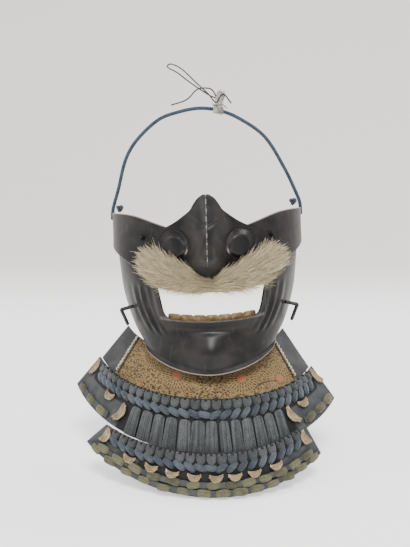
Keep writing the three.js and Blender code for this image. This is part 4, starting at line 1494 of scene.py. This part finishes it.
# ---------- cord, wire and twine ----------
@dataclass
class HeadCord:
    """The blue cord over the wearer's head, its knots, the hanging wire and the twine that binds them."""

    radius: float = 1.6
    route: tuple[tuple[float, float, float], ...] = (
        (-83, 2.6, -9), (-82, 2.4, 1), (-77, 1, 18), (-70, 0, 44),
        (-60, 0, 61), (-41, 0, 78.5), (-22, 0, 85.5),
        (-5, 0, 88.2), (12, 0, 86), (29, 0, 79), (50, 0, 64),
        (67, 0, 38), (78, 0, 16), (82, 2.4, 6), (83, 2.6, -4),
    )
    knots: tuple[tuple[float, float, float], ...] = ((-76, 0, 1.5), (75.5, -1, 8))
    wire_radius: float = 0.6
    wire: tuple[tuple[float, float, float], ...] = (
        (-30, -2, 91), (-17, -2, 95.5), (-8, -2, 104), (0, 1, 105), (5, 5, 103), (8, 6.2, 97), (3, 5, 98.5),
        (-13, 1, 109), (-25, 0, 118), (-33, 0, 122.5), (-30, -1.5, 125), (-21, -3, 121), (-9, -4, 110),
        (1.5, -5, 100.5), (8, -6.2, 93.5), (12, -6, 99), (15, -4, 100), (21, -2, 92.5),
    )
    tie: tuple[float, float, float] = (10, 86.5, 9)
    collar_radius: float = 3.0
    twine: float = 0.5

    def build(self) -> None:
        """Builds and dresses the cord and what is tied to it."""
        line = smooth_route(self.route, 160)
        strand = strands("blue_head_cord", [line], self.radius, 10)
        Finish.CORD.on(strand, "head_cord")
        pieces = [self._wire(), self._tie(), *self._knots()]

    def _knots(self) -> list[bpy.types.Object]:
        """The overhand knots inside the ears."""
        made = []
        turn = np.linspace(0, 2 * math.pi, 49)
        for side, centre in zip(("left", "right"), self.knots):
            x = np.sin(turn) + 2 * np.sin(2 * turn)
            z = np.cos(turn) - 2 * np.cos(2 * turn)
            path = xyz(x * 0.82, -np.sin(3 * turn) * 1.1, z * 0.82) + np.array(centre)
            knot = strands(f"ear_knot_{side}", [path], 1.15, 8, capped=False)
            made.append(Finish.CORD.on(knot, f"cord_knot_{side}"))
        return made

    def _wire(self) -> bpy.types.Object:
        """The doubled wire that the guard hangs by."""
        wire = strands("hanging_wire", [smooth_route(self.wire, 150)], self.wire_radius, 8)
        return Finish.WIRE.on(wire, "hanger_wire")

    def _tie(self) -> bpy.types.Object:
        """Turns of twine round the cord, a knotted bundle above them and their loose ends."""
        dice = np.random.default_rng(4)
        x, z, lean = self.tie
        tilt = math.radians(lean)
        turns = 8
        run = np.linspace(0, 1, turns * 14)
        angle = run * turns * 2 * math.pi
        radius = self.collar_radius + 0.25 * np.sin(angle * 0.37)
        paths = [xyz(lerp(-4.4, 4.4, run), radius * np.cos(angle), radius * np.sin(angle))]
        for k in range(7):
            loop = np.linspace(0, 2 * math.pi, 30)
            wide, tall = 1.6 + 1.5 * dice.random(), 5 + 3.0 * dice.random()
            shift = dice.normal(0, 0.9, 3)
            swing = dice.random() * math.pi
            across = wide * np.sin(loop)
            paths.append(xyz(
                across * math.cos(swing) + shift[0], across * math.sin(swing) + shift[1] * 0.6,
                3.0 + tall + tall * np.cos(loop) + shift[2] * 0.5 - 0.5,
            ))
        for k, height in enumerate((6, 8, 10)):
            ring = np.linspace(0, 4 * math.pi, 40)
            paths.append(xyz(2.6 * np.cos(ring), 2.4 * np.sin(ring), height + ring * 0.1))
        for end in ((5, -2, -2), (7, -3, 3), (-6, -3, 5), (2, -4, 17)):
            start = np.array([dice.normal(0, 1), 0, 5.0 + dice.random() * 3])
            middle = (start + np.array(end)) / 2 + dice.normal(0, 1.2, 3)
            paths.append(smooth_route([start, middle, end], 10))
        turn = np.array([
            [math.cos(tilt), 0, math.sin(tilt)], [0, 1, 0], [-math.sin(tilt), 0, math.cos(tilt)],
        ])
        placed = [path @ turn.T + np.array([x, 0, z]) for path in paths]
        twine = strands("twine_binding", placed, self.twine, 6)
        return Finish.TWINE.on(twine, "cord_tie")


# ---------- the studio ----------
@dataclass
class Studio:
    """The camera, the pale floor and the soft light."""

    elevation: float = 15
    distance: float = 0.80
    lens: float = 60
    target: tuple[float, float, float] = (-0.0013, -0.0144, -0.0538)
    floor: float = -0.1982
    sweep: float = 0.6

    def camera(self) -> None:
        """Sets the camera."""
        data = bpy.data.cameras.new("camera")
        data.lens, data.sensor_width, data.sensor_fit = self.lens, 36, "AUTO"
        camera = bpy.data.objects.new("camera", data)
        bpy.context.scene.collection.objects.link(camera)
        rise = math.radians(self.elevation)
        offset = Vector((0, -math.cos(rise), math.sin(rise))) * self.distance
        camera.location = Vector(self.target) + offset
        camera.rotation_euler = (math.pi / 2 - rise, 0, 0)
        bpy.context.scene.camera = camera

    def light(self) -> None:
        """Sets the floor, the sky and the lamps."""
        bm = bmesh.new()
        bmesh.ops.create_grid(bm, x_segments=1, y_segments=60, size=4)
        for vert in bm.verts:
            past = max(vert.co.y - self.sweep, 0)
            vert.co.z = self.floor + min(past**2 * 0.5, past * 1.6)
        floor = finish_piece("floor", bm)
        paper = Shader("floor_paper")
        fibre = paper.noise(paper.place(), 8, 3)
        rise = paper.node("ShaderNodeSeparateXYZ")
        paper.put(rise.inputs[0], paper.place())
        # Painted shade: the rising back of the sweep is given a darker paper tone.
        far = paper.between(rise.outputs[1], 0.28, 0.6)
        near = paper.mix(fibre, (0.93, 0.92, 0.915), (0.95, 0.94, 0.935))
        tone = paper.mix(far, near, (0.66, 0.63, 0.61))
        # The paper also glows, a painted light that brightens the floor and backdrop.
        paper.set(base_color=tone, roughness=0.8, emission_color=tone, emission_strength=0.55)
        floor.data.materials.append(paper.material)
        world = bpy.data.worlds.new("studio")
        world.use_nodes = True
        world.node_tree.nodes["Background"].inputs[0].default_value = (0.92, 0.90, 0.89, 1)
        world.node_tree.nodes["Background"].inputs[1].default_value = 0.95
        bpy.context.scene.world = world
        self._lamp("key", (0.15, -1.0, 1.5), 42, 0.7)
        self._lamp("fill", (-1.4, -0.3, 1.1), 14, 1.0)
        self._lamp("rim", (0.9, 0.6, 1.3), 14, 0.8)

    def _lamp(self, name: str, place: tuple[float, float, float], power: float, size: float) -> None:
        """One soft square lamp that points at the guard.

        Args:
            name: Its name.
            place: Where it hangs, in metres.
            power: Its power in watts.
            size: Its side in metres.
        """
        data = bpy.data.lights.new(name, "AREA")
        data.energy, data.size = power, size
        lamp = bpy.data.objects.new(name, data)
        bpy.context.scene.collection.objects.link(lamp)
        lamp.location = place
        aim = Vector(self.target) - Vector(place)
        lamp.rotation_euler = aim.to_track_quat("-Z", "Y").to_euler()


def main() -> None:
    """Builds the whole face guard."""
    logging.basicConfig(level=logging.INFO, format="%(message)s")
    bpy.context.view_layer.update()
    studio = Studio()
    studio.camera()
    HeadCord().build()
    studio.light()
    form = FaceForm()
    FacePlate(form).build()
    NosePlate(form).build()
    Moustache(form).build()
    LowerTeeth(form).build()
    CordHooks(form).build()
    Collar().build()
    LacedLame("upper", UPPER_LAME, (0.04, 0.17), (0.19, 0.39), 0.86, (
        (-0.93, 0.25, 15, 7, 84), (-0.68, 0.47, 12, 6, 0), (-0.56, 0.67, 17, 7, 64),
        (0.56, 0.62, 17, 7, -64), (0.68, 0.5, 12, 6, 0), (0.93, 0.25, 15, 7, -84),
    )).build()
    hems = (-0.64, -0.46, -0.3, -0.14, 0.02, 0.18, 0.35, 0.55)
    LacedLame("lower", LOWER_LAME, (0.06, 0.21), (0.23, 0.43), 0.86, (
        (-0.91, 0.32, 13, 7, 75), *((u, 0.54, 11, 5.5, 0) for u in hems), (0.91, 0.3, 13, 7, -75),
    ), seed=7).build()
    HangingBands().build()
    PadRow("pads_upper_left", UPPER_LAME, 0.86, -0.97, -0.64, 3).build()
    PadRow("pads_upper_right", UPPER_LAME, 0.84, 0.64, 0.97, 3).build()
    PadRow("pads_lower_first", LOWER_LAME, 0.72, -0.93, 0.93, 13).build()
    PadRow("pads_lower_second", LOWER_LAME, 0.9, -0.97, 0.97, 14).build()


if __name__ == "__main__":
    main()
